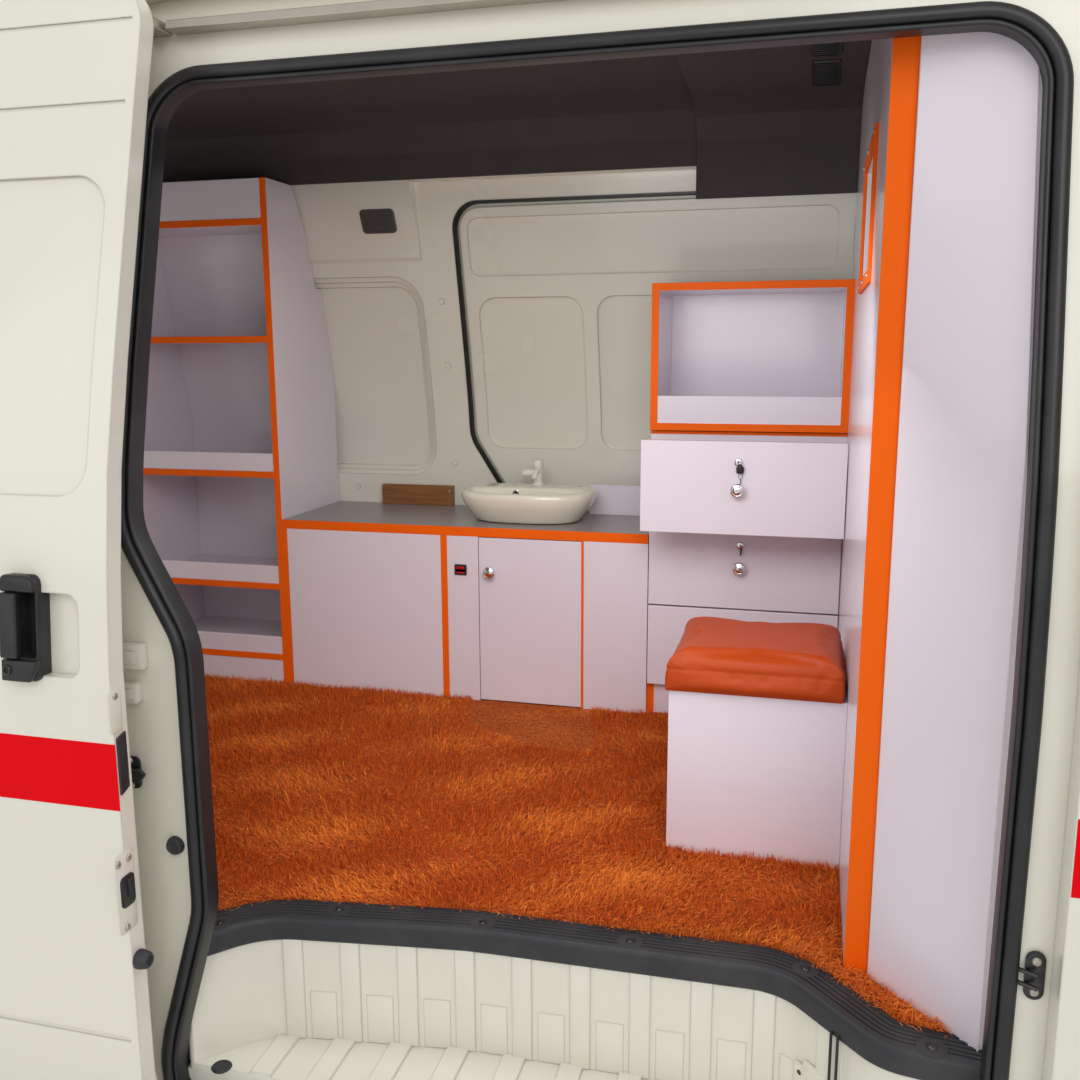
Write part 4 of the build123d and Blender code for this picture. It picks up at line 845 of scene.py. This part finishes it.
class AMBULANCE_OT_door_edge(bpy.types.Operator):
    """Makes the catch, the buffer and the screws on the open door's front edge"""
    bl_idname = "ambulance.door_edge"
    bl_label = "Door edge"

    def execute(self, context):
        x = -1.0152
        catch = [([(-0.009, -0.0455), (0.010, -0.038), (0.010, 0.0455), (-0.009, 0.040)],
                  0.004, 0.0012, -0.944, 0.7655),
                 (rounded_box(0.030, 0.048, 0.008), 0.005, 0.0015, -0.9565, 0.576),
                 (rounded_box(0.012, 0.030, 0.004), 0.009, 0.003, -0.9535, 0.580)]
        slabs = [(rounded_box(0.040, 0.122, 0.006), 0.0022, 0.0008, -0.958, 0.575),
                 (rounded_box(0.026, 0.060, 0.004), 0.003, 0.001, -0.951, 0.845)]
        for rows, name, finish in ((catch, "door_catch", "black_plastic"),
                                   (slabs, "door_edge_plates", "body_paint")):
            parts = [put(plate(outline, thickness, bevel), facing((x, y, z), "+X"))
                     for outline, thickness, bevel, y, z in rows]
            finish_piece(joined(parts), name, finish)
        heads = [put(screw_head(5.5), facing((x + 0.0022, y, z), "+X")) for y, z in
                 ((-0.9735, 0.6235), (-0.9495, 0.6235), (-0.9635, 0.521), (-0.951, 0.868))]
        finish_piece(joined(heads), "door_edge_screws", "rail_metal")
        buffer = turned([(0, 0), (13, 0), (14.5, 2), (14.5, 7), (12.5, 17), (10.5, 20), (7, 20.5),
                         (6, 17), (0, 16)], 28, facing((x, -0.943, 0.4585), "+X"))
        finish_piece(buffer, "door_buffer", "tread_rubber", smooth=40)
        return {"FINISHED"}


class AMBULANCE_OT_pillars(bpy.types.Operator):
    """Makes the striker, the hook, the stop and the brackets on the door pillars"""
    bl_idname = "ambulance.pillars"
    bl_label = "Pillar fittings"

    def execute(self, context):
        def on_pocket(obj, x, z, out=0):
            return put(obj, facing(skin_place(x, z, out - POCKET), "-Y", -lean_at(z)))

        loop = swept(rounded([(8, 9, 0), (-26, 9, 8.5), (-26, -9, 8.5), (8, -9, 0)], closed=False),
                     ellipse(3, 3, 10), closed=False)
        black = [put(loop, at(skin_place(214, 562, 12 - POCKET))
                     @ Matrix.Rotation(math.radians(90), 4, "X")
                     @ Matrix.Rotation(math.radians(-28), 4, "Y"))]
        for outline, thickness, bevel, x, z, out in (
                (rounded_box(0.024, 0.066, 0.0115), 0.006, 0.0018, 220, 564, 0),
                (rounded_box(0.026, 0.052, 0.009), 0.006, 0.002, -1077, 702, 0),
                ([(-0.008, -0.012), (0.012, -0.010), (0.022, 0.002), (0.012, 0.012),
                  (-0.008, 0.012)], 0.008, 0.0025, -1070, 702, 10),
                (rounded_box(0.012, 0.016, 0.004), 0.014, 0.002, -1074, 702, 0)):
            black.append(on_pocket(plate(outline, thickness, bevel), x, z, out))
        finish_piece(joined(black), "pillar_catches", "dark_metal", smooth=40,
                     stands_for="striker_stops")
        stop = turned([(0, 0), (14, 0), (15, 1.5), (14.6, 5), (12.6, 9.4), (10, 10.4), (8, 9.2),
                       (5, 8.4), (0, 9.6)])
        finish_piece(on_pocket(stop, -1012, 588), "pillar_stop", "tread_rubber", smooth=40)
        heads = [on_pocket(screw_head(5.8), x, z, 6) for x, z in
                 ((220, 585), (220, 543), (-1080, 722), (-1080, 682))]
        finish_piece(joined(heads), "pillar_screws", "rail_metal")
        steel = []
        for x, z, w, h in ((-1059, 892, 0.042, 0.040), (-1066, 834, 0.028, 0.032)):
            steel.append(on_pocket(plate(rounded_box(w, h, 0.004), 0.016, bevel=0.002), x, z))
            steel.append(on_pocket(plate(rounded_box(w * 0.6, h * 0.5, 0.003), 0.003, bevel=0.001),
                                   x, z, 16))
        finish_piece(joined(steel), "pillar_brackets", "body_paint")
        return {"FINISHED"}


class AMBULANCE_OT_pulls(bpy.types.Operator):
    """Makes the chrome knobs and the locks with their keys"""
    bl_idname = "ambulance.pulls"
    bl_label = "Knobs and locks"

    def execute(self, context):
        knob = [(0, 0), (8.5, 0), (8.5, 1.6), (6.4, 3), (5.6, 6), (5.6, 10), (8, 12.2), (12, 13.8),
                (15.2, 15.6), (16.5, 18.4), (16.5, 20.4), (15.4, 22.8), (12.9, 24.6), (11.9, 24.7),
                (11.2, 24), (9, 25.4), (5, 26.6), (0, 27)]
        lock = [(0, 0), (10, 0), (10, 3.4), (9.2, 4.6), (8, 5), (7.2, 4.2), (6.8, 5.6), (5.6, 6),
                (0, 6)]
        for name, x, z, front, lock_z, body, node in (
                ("cupboard_knob_turned", -0.895, 0.763, 0.440, None, "cupboard_door",
                 "cupboard_knob"),
                ("drawer_1_fittings", -0.244, 1.021, 0.290, 1.085, "drawer_1", "drawer_1_pulls"),
                ("drawer_2_fittings", -0.244, 0.806, 0.440, 0.862, "drawer_2", "drawer_2_pulls"),
                ("drawer_3_fittings", -0.244, 0.592, 0.440, 0.647, "drawer_3", "drawer_3_pulls")):
            parts = [turned(knob, 36, facing((x, front, z), "-Y"))]
            if lock_z:
                parts.append(turned(lock, place=facing((x, front, lock_z), "-Y")))
            finish_piece(joined(parts), name, "chrome_fittings", smooth=40, body=body,
                         stands_for=node)
            if lock_z:
                self.key(name.replace("fittings", "key"), facing((x, front, lock_z), "-Y"), body)
        return {"FINISHED"}

    def key(self, name, place, body):
        """A key with a moulded bow in its lock, edge on or hanging with its ring."""
        hanging = body == "drawer_1"
        bow = plate(rounded([(-0.008, -0.010, 0.004), (0.008, -0.010, 0.004),
                             (0.0095, 0.004, 0.006), (0.003, 0.010, 0.002),
                             (-0.003, 0.010, 0.002), (-0.0095, 0.004, 0.006)]), 0.003,
                    bevel=0.0009)
        drop = (0.004, -0.015, 0.009) if hanging else (0.001, -0.014, 0.010)
        parts = [put(bow, at(drop) @ Matrix.Rotation(math.radians(16 if hanging else 88), 4, "Y")),
                 box_between((-0.0006, -0.004, 0.003), (0.0006, 0.004, 0.014), bevel=0.0002)]
        if hanging:
            bpy.ops.object.select_all(action="DESELECT")
            bpy.ops.mesh.primitive_torus_add(
                major_radius=0.0085, minor_radius=0.0006, major_segments=28, minor_segments=6,
                location=(0, 0, 0))
            parts.append(put(bpy.context.object, at((0.006, -0.030, 0.009))
                             @ Matrix.Rotation(math.radians(62), 4, "Y")))
            parts.append(box_between((0.0055, -0.052, 0.008), (0.0075, -0.036, 0.0085)))
        finish_piece(put(joined(parts), place), name, "black_plastic", body=body)


class AMBULANCE_OT_switch(bpy.types.Operator):
    """Makes the rocker switch in its frame"""
    bl_idname = "ambulance.switch"
    bl_label = "Switch"

    def execute(self, context):
        place = facing((-0.980, 0.440, 0.7635), "-Y")
        shell = lofted([box_ring(*values) for values in (
            (0.034, 0.029, 0.003, 0), (0.034, 0.029, 0.003, 0.003), (0.031, 0.026, 0.002, 0.0045),
            (0.0255, 0.0205, 0.0012, 0.0045), (0.0250, 0.0200, 0.001, 0.001))])
        finish_piece(put(shell, place), "switch_frame", "black_plastic", stands_for="switch")
        rocker = plate([(-0.0095, 0.001), (-0.0095, 0.0052), (0, 0.0036), (0.0095, 0.0074),
                        (0.0095, 0.001)], 0.0235, bevel=0.0006)
        put(rocker, place @ at((-0.01175, 0, 0)) @ ALONG_X)
        finish_piece(rocker, "switch_rocker", "switch_red")
        marks = [put(plate(rounded_box(0.009, 0.0011, 0.0004), 0.0004), place @ at((0, y, z)))
                 for y, z in ((0.0052, 0.0060), (-0.0052, 0.0048))]
        finish_piece(joined(marks), "switch_marks", "black_plastic", smooth=0)
        return {"FINISHED"}


class AMBULANCE_OT_basin(bpy.types.Operator):
    """Makes the hand basin with its ledge, bowl, overflow and waste"""
    bl_idname = "ambulance.basin"
    bl_label = "Basin"

    def execute(self, context):
        def ring(a, front, back, z, y=0.0, n_front=2.5, n_back=4.6, steps=64):
            points = []
            for k in range(steps):
                t = math.tau * k / steps
                c, s = math.cos(t), math.sin(t)
                b, n = (back, n_back) if s >= 0 else (front, n_front)
                points.append((math.copysign(a * abs(c) ** (2 / n), c) * MM,
                               (y + math.copysign(b * abs(s) ** (2 / n), s)) * MM, z * MM))
            return points

        place = at((-0.835, 0.600, 0.880))
        basin = put(lofted([
            ring(140, 84, 104, 0, n_back=3.4), ring(145, 89, 107, 2.5, n_back=3.4),
            ring(151, 96, 110, 12, n_back=3.6), ring(164, 108, 115, 28), ring(176, 118.5, 120, 45),
            ring(182.5, 123, 123, 58), ring(185, 125, 125, 69), ring(184, 124.5, 125, 77),
            ring(180, 121, 123.5, 82.2), ring(174, 116, 120, 84.6), ring(169, 111, 110, 85),
            ring(165, 107, 60, 84.6, n_back=3.4), ring(162, 104, 44, 83.4, n_back=2.8),
            ring(158, 100, 39, 79.5, n_back=2.6), ring(153, 95, 36, 68, n_back=2.5),
            ring(140, 84, 32, 48, -3, n_back=2.4), ring(116, 66, 26, 29, -8, n_back=2.3),
            ring(80, 44, 24, 18, -14, 2.2, 2.2), ring(44, 30, 26, 13.5, -20, 2, 2),
            ring(24, 22, 22, 12, -22, 2, 2)]), place)
        subdivided(basin)
        finish_piece(basin, "hand_basin", "ceramic", smooth=60, stands_for="basin")
        waste = turned([(0, 10), (24, 10), (24, 13.4), (21, 14), (19, 12.6), (17, 12.4), (17, 11),
                        (6, 11), (6, 13), (0, 13.4)], place=place @ at((0, -0.022, 0)))
        overflow = turned([(5, 0), (9.5, 0), (9.5, 1.6), (7.5, 2.6), (5.6, 2.2), (5, 0.4), (5, 0)],
                          28, place @ facing((-0.045, 0.0345, 0.068), "-Y", 0.12))
        finish_piece(joined([waste, overflow]), "basin_waste", "chrome_fittings", smooth=40)
        # black discs on the ledge's two holes and in the overflow's opening stand for the holes:
        # painted shade; the tilted knobbed piece is the bowl's plug
        dark = [turned([(0, 0), (3.6, 0), (3.4, 0.5), (0, 0.6)], 16, place @ at((x, 0.084, 0.0846)))
                for x in (-0.062, 0.128)]
        dark.append(turned([(0, 0), (5.2, 0), (0, 0.4)], 16,
                           place @ facing((-0.045, 0.0342, 0.068), "-Y", 0.12)))
        dark.append(turned([(0, 0), (19, 0), (20.5, 2.5), (18, 6), (8, 7.5), (5, 12), (4, 18),
                            (0, 19)], 28, place @ at((0.055, 0.010, 0.052))
                           @ Matrix.Rotation(0.5, 4, "X")))
        finish_piece(joined(dark), "basin_hole_shade_and_plug", "black_plastic", smooth=40)
        return {"FINISHED"}


class AMBULANCE_OT_tap(bpy.types.Operator):
    """Makes the white pillar tap with its side lever"""
    bl_idname = "ambulance.tap"
    bl_label = "Tap"

    def execute(self, context):
        pillar = turned([(0, 0), (17, 0), (17, 3), (15, 5.5), (12.4, 7), (11.4, 12), (10.6, 30),
                         (11, 46), (12.6, 50), (14.4, 52), (15, 55), (14.6, 66), (13, 70.5),
                         (9, 72), (0, 72)])
        lever = turned([(0, 0), (8.6, 0), (8.8, 14), (10.2, 18), (11.4, 26), (11, 36), (8.5, 42),
                        (4, 44.5), (0, 45)], 24,
                       at((-0.004, 0, 0.036)) @ Matrix.Rotation(math.radians(-94), 4, "Y"))
        spout = lofted([[(x * MM, -d * MM, (z + y) * MM) for x, y in ellipse(w, h, 16)]
                        for w, h, d, z in ((8, 7.5, 0, 40), (8, 7, 14, 41), (7.6, 6.4, 28, 39),
                                           (7.2, 6, 38, 34), (6.8, 5.4, 44, 28))])
        tap = put(joined([pillar, lever, spout]), at((-0.831, 0.693, 0.965)))
        finish_piece(tap, "pillar_tap", "tap_plastic", smooth=45, stands_for="tap")
        return {"FINISHED"}


class AMBULANCE_OT_vents(bpy.types.Operator):
    """Makes the louvred outlets in the roof lining and the inlet in the far side"""
    bl_idname = "ambulance.vents"
    bl_label = "Vents"

    def execute(self, context):
        parts = []
        for middle in (0.1146, 0.3346):
            place = (at((-0.085, middle, 1.9450 - 0.033 * middle))
                     @ Matrix.Rotation(math.radians(180 - 1.9), 4, "X"))
            rim = lofted([box_ring(*values) for values in (
                (0.060, 0.180, 0.006, 0), (0.060, 0.180, 0.006, 0.003),
                (0.057, 0.177, 0.005, 0.0052), (0.046, 0.166, 0.003, 0.0052),
                (0.045, 0.165, 0.003, 0.0008))])
            parts.append(put(rim, place))
            slat = plate(rounded_box(0.046, 0.0085, 0.0008), 0.0014, bevel=0.0003, segments=1)
            parts += copied(slat, [place @ at((0, -0.0735 + 0.0134 * k, 0.0034))
                                   @ Matrix.Rotation(math.radians(28), 4, "X") for k in range(12)])
        finish_piece(joined(parts), "roof_louvres", "black_plastic", stands_for="roof_vents")
        low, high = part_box("side_vents")
        lean = math.atan2(high.y - low.y - 0.004, high.z - low.z)
        parts = [lofted([box_ring(*values) for values in (
            (0.102, 0.068, 0.012, -0.002), (0.102, 0.068, 0.012, 0.0012),
            (0.098, 0.064, 0.011, 0.0028), (0.090, 0.056, 0.007, 0.0028),
            (0.089, 0.055, 0.007, 0.0004))])]
        slat = plate(rounded_box(0.090, 0.0026, 0.0006), 0.0022, bevel=0.0004, segments=1)
        parts += copied(slat, [at((0, -0.0245 + 0.0049 * k, 0.0004)) for k in range(11)])
        vent = put(joined(parts), facing((low + high) / 2, "-Y", lean))
        finish_piece(vent, "side_grille", "grille_grey",
                     stands_for="side_vents")
        return {"FINISHED"}


class AMBULANCE_OT_trim(bpy.types.Operator):
    """Makes the roof strips, the rear opening's trim, the screws and the body plugs"""
    bl_idname = "ambulance.trim"
    bl_label = "Trim and plugs"

    def execute(self, context):
        strips = []
        for side in (-1, 1):
            strip = plate([(-0.010, -0.004), (0.009, -0.004), (0.010, 0.002), (0.006, 0.005),
                           (-0.006, 0.006), (-0.010, 0.002)], 2.80, bevel=0.001, segments=1)
            strips.append(put(strip, at((-2.475, side * 0.5985, 2.0325)) @ ALONG_X))
        finish_piece(joined(strips), "roof_strips", "tread_rubber")
        outline = [(-y, z, r) for y, z, r in REAR_OPENING[:-1]] + list(REAR_OPENING[::-1])
        trim = swept(rounded(outline, step=10), [(x - 2, y) for x, y in ellipse(7, 8, 12)],
                     closed=True)
        for v in trim.data.vertices:
            v.co = (-2.476 + v.co.z, v.co.x, v.co.y)
        finish_piece(closed_up(trim), "rear_trim", "seal_rubber", smooth=50)
        low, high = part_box("hatch_frame")
        heads = [put(screw_head(4.5), facing((low.x, y, z), "-X"))
                 for y in (low.y + 0.011, (low.y + high.y) / 2, high.y - 0.011)
                 for z in (low.z + 0.011, high.z - 0.011)]
        heads.append(put(screw_head(4.2), facing((-1.133, 0.7905, 0.924), "-Y")))
        finish_piece(joined(heads), "fixing_screws", "rail_metal")
        disc = turned([(0, 0), (9, 0), (10, 0.8), (9, 2.2), (6, 2.6), (5, 1.8), (0, 1.8)], 24)
        spots = [facing(skin_place(x, z, -65.5, side=1), "-Y", lean_at(z))
                 for x, z in ((-1118, 1010), (-1118, 1300), (-1118, 1480), (-1440, 930))]
        spots += [facing(skin_place(x, z, -POCKET), "-Y", -lean_at(z))
                  for x, z in ((-1115, 1250), (-1115, 1500), (-1090, 1640))]
        finish_piece(joined(copied(disc, spots)), "body_plugs", "body_paint", smooth=40)
        return {"FINISHED"}


class AMBULANCE_OT_cushion(bpy.types.Operator):
    """Makes the bench cushion: a crowned pad blown up in its cover, with its turned seam"""
    bl_idname = "ambulance.cushion"
    bl_label = "Bench cushion"

    def execute(self, context):
        low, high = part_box("bench_cushion")
        inset = 0.007                        # room for the cover to swell
        start = box_between(low + Vector((inset, inset, 0)),
                            high - Vector((inset * 0.6, inset, inset)))
        top = high.z - inset
        self.bevel(start, 0.024, lambda a, b: abs(a.z - b.z) > 0.01)
        self.bevel(start, 0.026, lambda a, b: min(a.z, b.z) > top - 1e-4)
        cushion = bpy.data.objects.new("cushion", start.data.copy())
        context.scene.collection.objects.link(cushion)
        bpy.data.objects.remove(start)
        remesh = cushion.modifiers.new("voxels", "REMESH")
        remesh.mode, remesh.voxel_size = "VOXEL", 0.005
        apply_modifiers(cushion)
        self.inflate(context, cushion, low.z)
        subdivided(cushion)
        seam = low.z + 0.042
        for v, normal in [(v, v.normal.copy()) for v in cushion.data.vertices]:
            side = max(0.0, 1 - abs(normal.z) * 1.3)
            away = (v.co.z - seam) / 0.0032
            v.co -= normal * side * 0.0022 * math.exp(-away * away)
            if v.co.z > seam:
                pucker = 0.0007 * side * math.sin((v.co.x + v.co.y) * 210) \
                    * math.exp(-(v.co.z - seam) / 0.012)
                v.co += normal * pucker
            v.co.z = max(v.co.z, low.z)
        finish_piece(cushion, "bench_cushion_soft", "leatherette", smooth=70,
                     stands_for="bench_cushion")
        return {"FINISHED"}

    def bevel(self, obj, width, wanted):
        """Rounds the edges whose two ends pass a test."""
        only(obj)
        bpy.ops.object.mode_set(mode="EDIT")
        bpy.ops.mesh.select_all(action="DESELECT")
        mesh = bmesh.from_edit_mesh(obj.data)
        for edge in mesh.edges:
            edge.select = wanted(*(v.co for v in edge.verts))
        bmesh.update_edit_mesh(obj.data)
        bpy.ops.mesh.bevel(offset=width, segments=5, affect="EDGES")
        bpy.ops.object.mode_set(mode="OBJECT")

    def inflate(self, context, cushion, floor):
        """Blows the cover up with Cloth, its base held, and caps how far a point moves."""
        rest = [v.co.copy() for v in cushion.data.vertices]
        held = cushion.vertex_groups.new(name="held")
        held.add([i for i, p in enumerate(rest) if p.z < floor + 0.006], 1.0, "REPLACE")
        cloth = cushion.modifiers.new("cloth", "CLOTH")
        s = cloth.settings
        s.quality, s.mass, s.vertex_group_mass = 6, 0.3, "held"
        s.use_pressure, s.uniform_pressure_force = True, 4.0
        s.tension_stiffness = s.compression_stiffness = 22
        s.shear_stiffness, s.bending_stiffness = 12, 2.5
        s.effector_weights.gravity = 0
        cloth.point_cache.frame_start, cloth.point_cache.frame_end = 1, 20
        for step in range(1, 21):
            context.scene.frame_set(step)
        apply_modifiers(cushion)
        context.scene.frame_set(1)
        cap = context.scene.ambulance_sizes.swell
        for v, p in zip(cushion.data.vertices, rest):
            moved = v.co - p
            if moved.length > cap:
                v.co = p + moved.normalized() * cap
        cushion.vertex_groups.clear()


class AMBULANCE_OT_carpet(bpy.types.Operator):
    """Makes the carpet's shaggy pile"""
    bl_idname = "ambulance.carpet"
    bl_label = "Carpet pile"

    def execute(self, context):
        sizes, colour = context.scene.ambulance_sizes, context.scene.ambulance_colours.carpet
        made, nodes, shader = material("carpet_pile", colour, 0.8, sheen=0.05, specular=0.12)
        link = made.node_tree.links.new
        tone_and_shade = nodes.new("ShaderNodeAttribute")
        tone_and_shade.attribute_name = "tone_and_shade"
        ramp = nodes.new("ShaderNodeValToRGB")
        base = Vector(colour)
        # the ramp runs from the carpet's colour at 0.75 for the tufts' roots to a far brighter
        # orange for their tips: painted shade deep in the pile and painted light on the tips
        ramp.color_ramp.elements[0].color = (*(base * 0.75), 1)
        ramp.color_ramp.elements[1].color = (1, base.y * 2.1, base.z * 2.4, 1)
        link(tone_and_shade.outputs["Fac"], ramp.inputs["Fac"])
        link(ramp.outputs["Color"], shader.inputs["Base Color"])
        path = [Vector((p.x, -p.y)) for p in rounded(STEP_EDGE, closed=False)]
        inner = []
        for i, p in enumerate(path):
            along = (path[min(i + 1, len(path) - 1)] - path[max(i - 1, 0)]).normalized()
            inner.append((p + TREAD_IN * Vector((-along.y, along.x))) * MM)
        edges = (-2.0, -1.46, -0.92, -0.38, 0.172)
        for k, seed in enumerate((3, 5, 7, 11)):
            self.pile(f"carpet_pile_{k + 1}", edges[k], edges[k + 1], seed, sizes, inner)
        return {"FINISHED"}

    def bare(self, x, y, inner):
        """Whether a place is under the tread, the bench, the partition or the closure panel."""
        near = -0.812 if x < inner[0].x else inner[-1].y
        for a, b in zip(inner, inner[1:]):
            if a.x <= x <= b.x:
                near = a.y + (b.y - a.y) * (x - a.x) / (b.x - a.x)
                break
        return (y < near + 0.002 or -0.322 < x < 0.002 and -0.297 < y < 0.002
                or -0.002 < x < 0.037 and y > -0.621
                or x > 0.037 and y > -0.628 - (x - 0.035) * 147 / 137 - 0.003)

    def pile(self, name, low_x, high_x, seed, sizes, inner):
        """Tufts of three faces each over a strip of the carpet, flattened where the door swings,
        with painted shade at their roots and painted light at their tips.
        """
        rng = random.Random(seed)
        verts, faces, tones_and_shade = [], [], []
        wanted = sizes.tufts
        while len(faces) < wanted * 3:
            x, y = rng.uniform(low_x, high_x), rng.uniform(-0.80, 0.438)
            if self.bare(x, y, inner):
                continue
            length = sizes.pile * rng.uniform(0.6, 1.25)
            wave = math.sin(x * 23 + 1.7 * math.sin(y * 19)) + math.sin(y * 27 + math.sin(x * 17))
            lean = min(1.45, max(0.1, rng.gauss(0.85 + 0.14 * wave, 0.3)))
            way = -1.2 + 0.9 * math.sin(x * 6 + y * 5) + 0.6 * math.sin(y * 21 - x * 13)
            way = rng.gauss(way, 0.75)
            dx, dy = math.cos(way), math.sin(way)
            w = sizes.fibre / 2 * rng.uniform(0.7, 1.35)
            px, py = -dy * w, dx * w
            n = len(verts)
            rise, run = length * math.cos(lean), length * math.sin(lean)
            aside, out = x - HINGE[0], HINGE[1] - y
            if math.hypot(aside, out) < HINGE[2] + sizes.pile and aside < 0.268 * out + 0.03:
                rise = min(rise, 0.0035)
            for share_up, share_out, width in ((0, 0, 1.0), (0.72, 0.38, 0.85), (1.0, 1.0, 0.0)):
                cx, cy = x + dx * run * share_out, y + dy * run * share_out
                cz = PILE_ROOT + (rise + 0.0035) * share_up
                if width:
                    verts += [(cx - px * width, cy - py * width, cz),
                              (cx + px * width, cy + py * width, cz)]
                else:
                    verts.append((cx, cy, cz))
            faces += [(n, n + 1, n + 3), (n, n + 3, n + 2), (n + 2, n + 3, n + 4)]
            # each tuft gets a random tone, then its root is darkened to 0.4 of it and its tip
            # raised to 1.2: painted shade down in the pile, painted light on the tips
            tone_and_shade = min(1, max(0, rng.gauss(0.56 + 0.07 * wave, 0.2)))
            tones_and_shade += [tone_and_shade * 0.4, tone_and_shade * 0.4, tone_and_shade * 0.9, tone_and_shade * 0.9, min(1, tone_and_shade * 1.2)]
        mesh = bpy.data.meshes.new(name)
        mesh.from_pydata(verts, [], faces)
        mesh.attributes.new("tone_and_shade", "FLOAT", "POINT").data.foreach_set("value", tones_and_shade)
        obj = bpy.data.objects.new(name, mesh)
        bpy.context.scene.collection.objects.link(obj)
        finish_piece(obj, name, "carpet_pile", smooth=0)


class AMBULANCE_OT_stage(bpy.types.Operator):
    """Makes the floor, the lamps and the camera"""
    bl_idname = "ambulance.stage"
    bl_label = "Stage"

    def execute(self, context):
        bpy.ops.object.select_all(action="DESELECT")
        bpy.ops.mesh.primitive_plane_add(size=60, location=(0, 0, -0.0005))
        floor = bpy.context.object
        floor.name = "floor"
        floor.data.materials.append(material("stage_floor", (0.80, 0.80, 0.79), 0.9)[0])
        world = bpy.data.worlds.new("studio")
        world.use_nodes = True
        sky = world.node_tree.nodes["Background"].inputs
        sky["Color"].default_value, sky["Strength"].default_value = (1, 1, 1, 1), 0.62
        context.scene.world = world
        sizes = context.scene.ambulance_sizes
        for lamp in (
                ("key", (1.2, -5.0, 4.2), (-0.5, 0, 0.9), 95, 4.0),
                ("fill", (-3.5, -5.5, 2.4), (-1.0, 0, 0.8), 30, 4.0),
                ("top", (-1.0, 0.0, 6.5), (-1.0, 0.0, 0), 60, 5.0),
                ("back", (-1.5, 6.0, 3.5), (-1.0, 0, 0.9), 90, 4.0),
                ("doorway", (-0.50, -0.56, 1.45), (-0.62, 0.5, 0.35), sizes.doorway_light, 0.8,
                 0.45),
                ("cabin", (-0.85, -0.1, 1.70), (-0.75, 0.05, 0), sizes.cabin_light, 1.1, 0.7)):
            self.lamp(context, *lamp)
        context.scene.view_settings.view_transform = "Standard"
        self.camera(context)
        return {"FINISHED"}

    def lamp(self, context, name, place, target, power, size, tall=None):
        """A round lamp, or an oblong one where its height is given, turned to a target."""
        lamp = bpy.data.lights.new(name, "AREA")
        lamp.shape = "RECTANGLE" if tall else "DISK"
        lamp.size = size
        if tall:
            lamp.size_y = tall
        lamp.energy = power
        obj = bpy.data.objects.new(name, lamp)
        obj.location = place
        obj.rotation_euler = (Vector(target) - Vector(place)).to_track_quat("-Z", "Y").to_euler()
        obj.visible_camera = False
        obj.visible_glossy = name not in ("top", "back")
        context.scene.collection.objects.link(obj)

    def camera(self, context):
        pitch, yaw, roll = (math.radians(v) for v in (10.385, 14.723, -0.232))
        ahead = Vector((-math.sin(yaw) * math.cos(pitch), math.cos(yaw) * math.cos(pitch),
                        -math.sin(pitch)))
        right = Vector((math.cos(yaw), math.sin(yaw), 0))
        up = right.cross(ahead)
        rolled = (math.cos(roll) * right + math.sin(roll) * up,
                  math.cos(roll) * up - math.sin(roll) * right)
        data = bpy.data.cameras.new("photo_view")
        data.lens = context.scene.ambulance_sizes.lens
        data.sensor_width = 36
        camera = bpy.data.objects.new("photo_view", data)
        camera.matrix_world = (at((-0.0789, -2.1511, 1.3446))
                               @ Matrix((*rolled, -ahead)).transposed().to_4x4())
        context.scene.collection.objects.link(camera)
        context.scene.camera = camera


class AMBULANCE_PT_panel(bpy.types.Panel):
    """Lists the compartment's operators"""
    bl_idname = "AMBULANCE_PT_panel"
    bl_label = "Ambulance"
    bl_space_type = "VIEW_3D"
    bl_region_type = "UI"
    bl_category = "Ambulance"

    def draw(self, context):
        layout = self.layout
        for group in (context.scene.ambulance_colours, context.scene.ambulance_sizes):
            for key in group.bl_rna.properties.keys():
                if key not in ("rna_type", "name"):
                    layout.prop(group, key)
        for operator in OPERATORS:
            layout.operator(operator.bl_idname)


OPERATORS = (AMBULANCE_OT_finishes, AMBULANCE_OT_bodywork, AMBULANCE_OT_boards,
             AMBULANCE_OT_seals, AMBULANCE_OT_tread, AMBULANCE_OT_step, AMBULANCE_OT_handles,
             AMBULANCE_OT_door_edge, AMBULANCE_OT_pillars, AMBULANCE_OT_pulls,
             AMBULANCE_OT_switch, AMBULANCE_OT_basin, AMBULANCE_OT_tap, AMBULANCE_OT_vents,
             AMBULANCE_OT_trim, AMBULANCE_OT_cushion, AMBULANCE_OT_carpet, AMBULANCE_OT_stage)
CLASSES = (AmbulanceColours, AmbulanceSizes, *OPERATORS, AMBULANCE_PT_panel)


def register():
    for cls in CLASSES:
        bpy.utils.register_class(cls)
    bpy.types.Scene.ambulance_colours = PointerProperty(type=AmbulanceColours)
    bpy.types.Scene.ambulance_sizes = PointerProperty(type=AmbulanceSizes)


def unregister():
    del bpy.types.Scene.ambulance_sizes
    del bpy.types.Scene.ambulance_colours
    for cls in reversed(CLASSES):
        bpy.utils.unregister_class(cls)


def main():
    register()
    for operator in OPERATORS:
        group, name = operator.bl_idname.split(".")
        getattr(getattr(bpy.ops, group), name)()


if __name__ == "__main__":
    main()
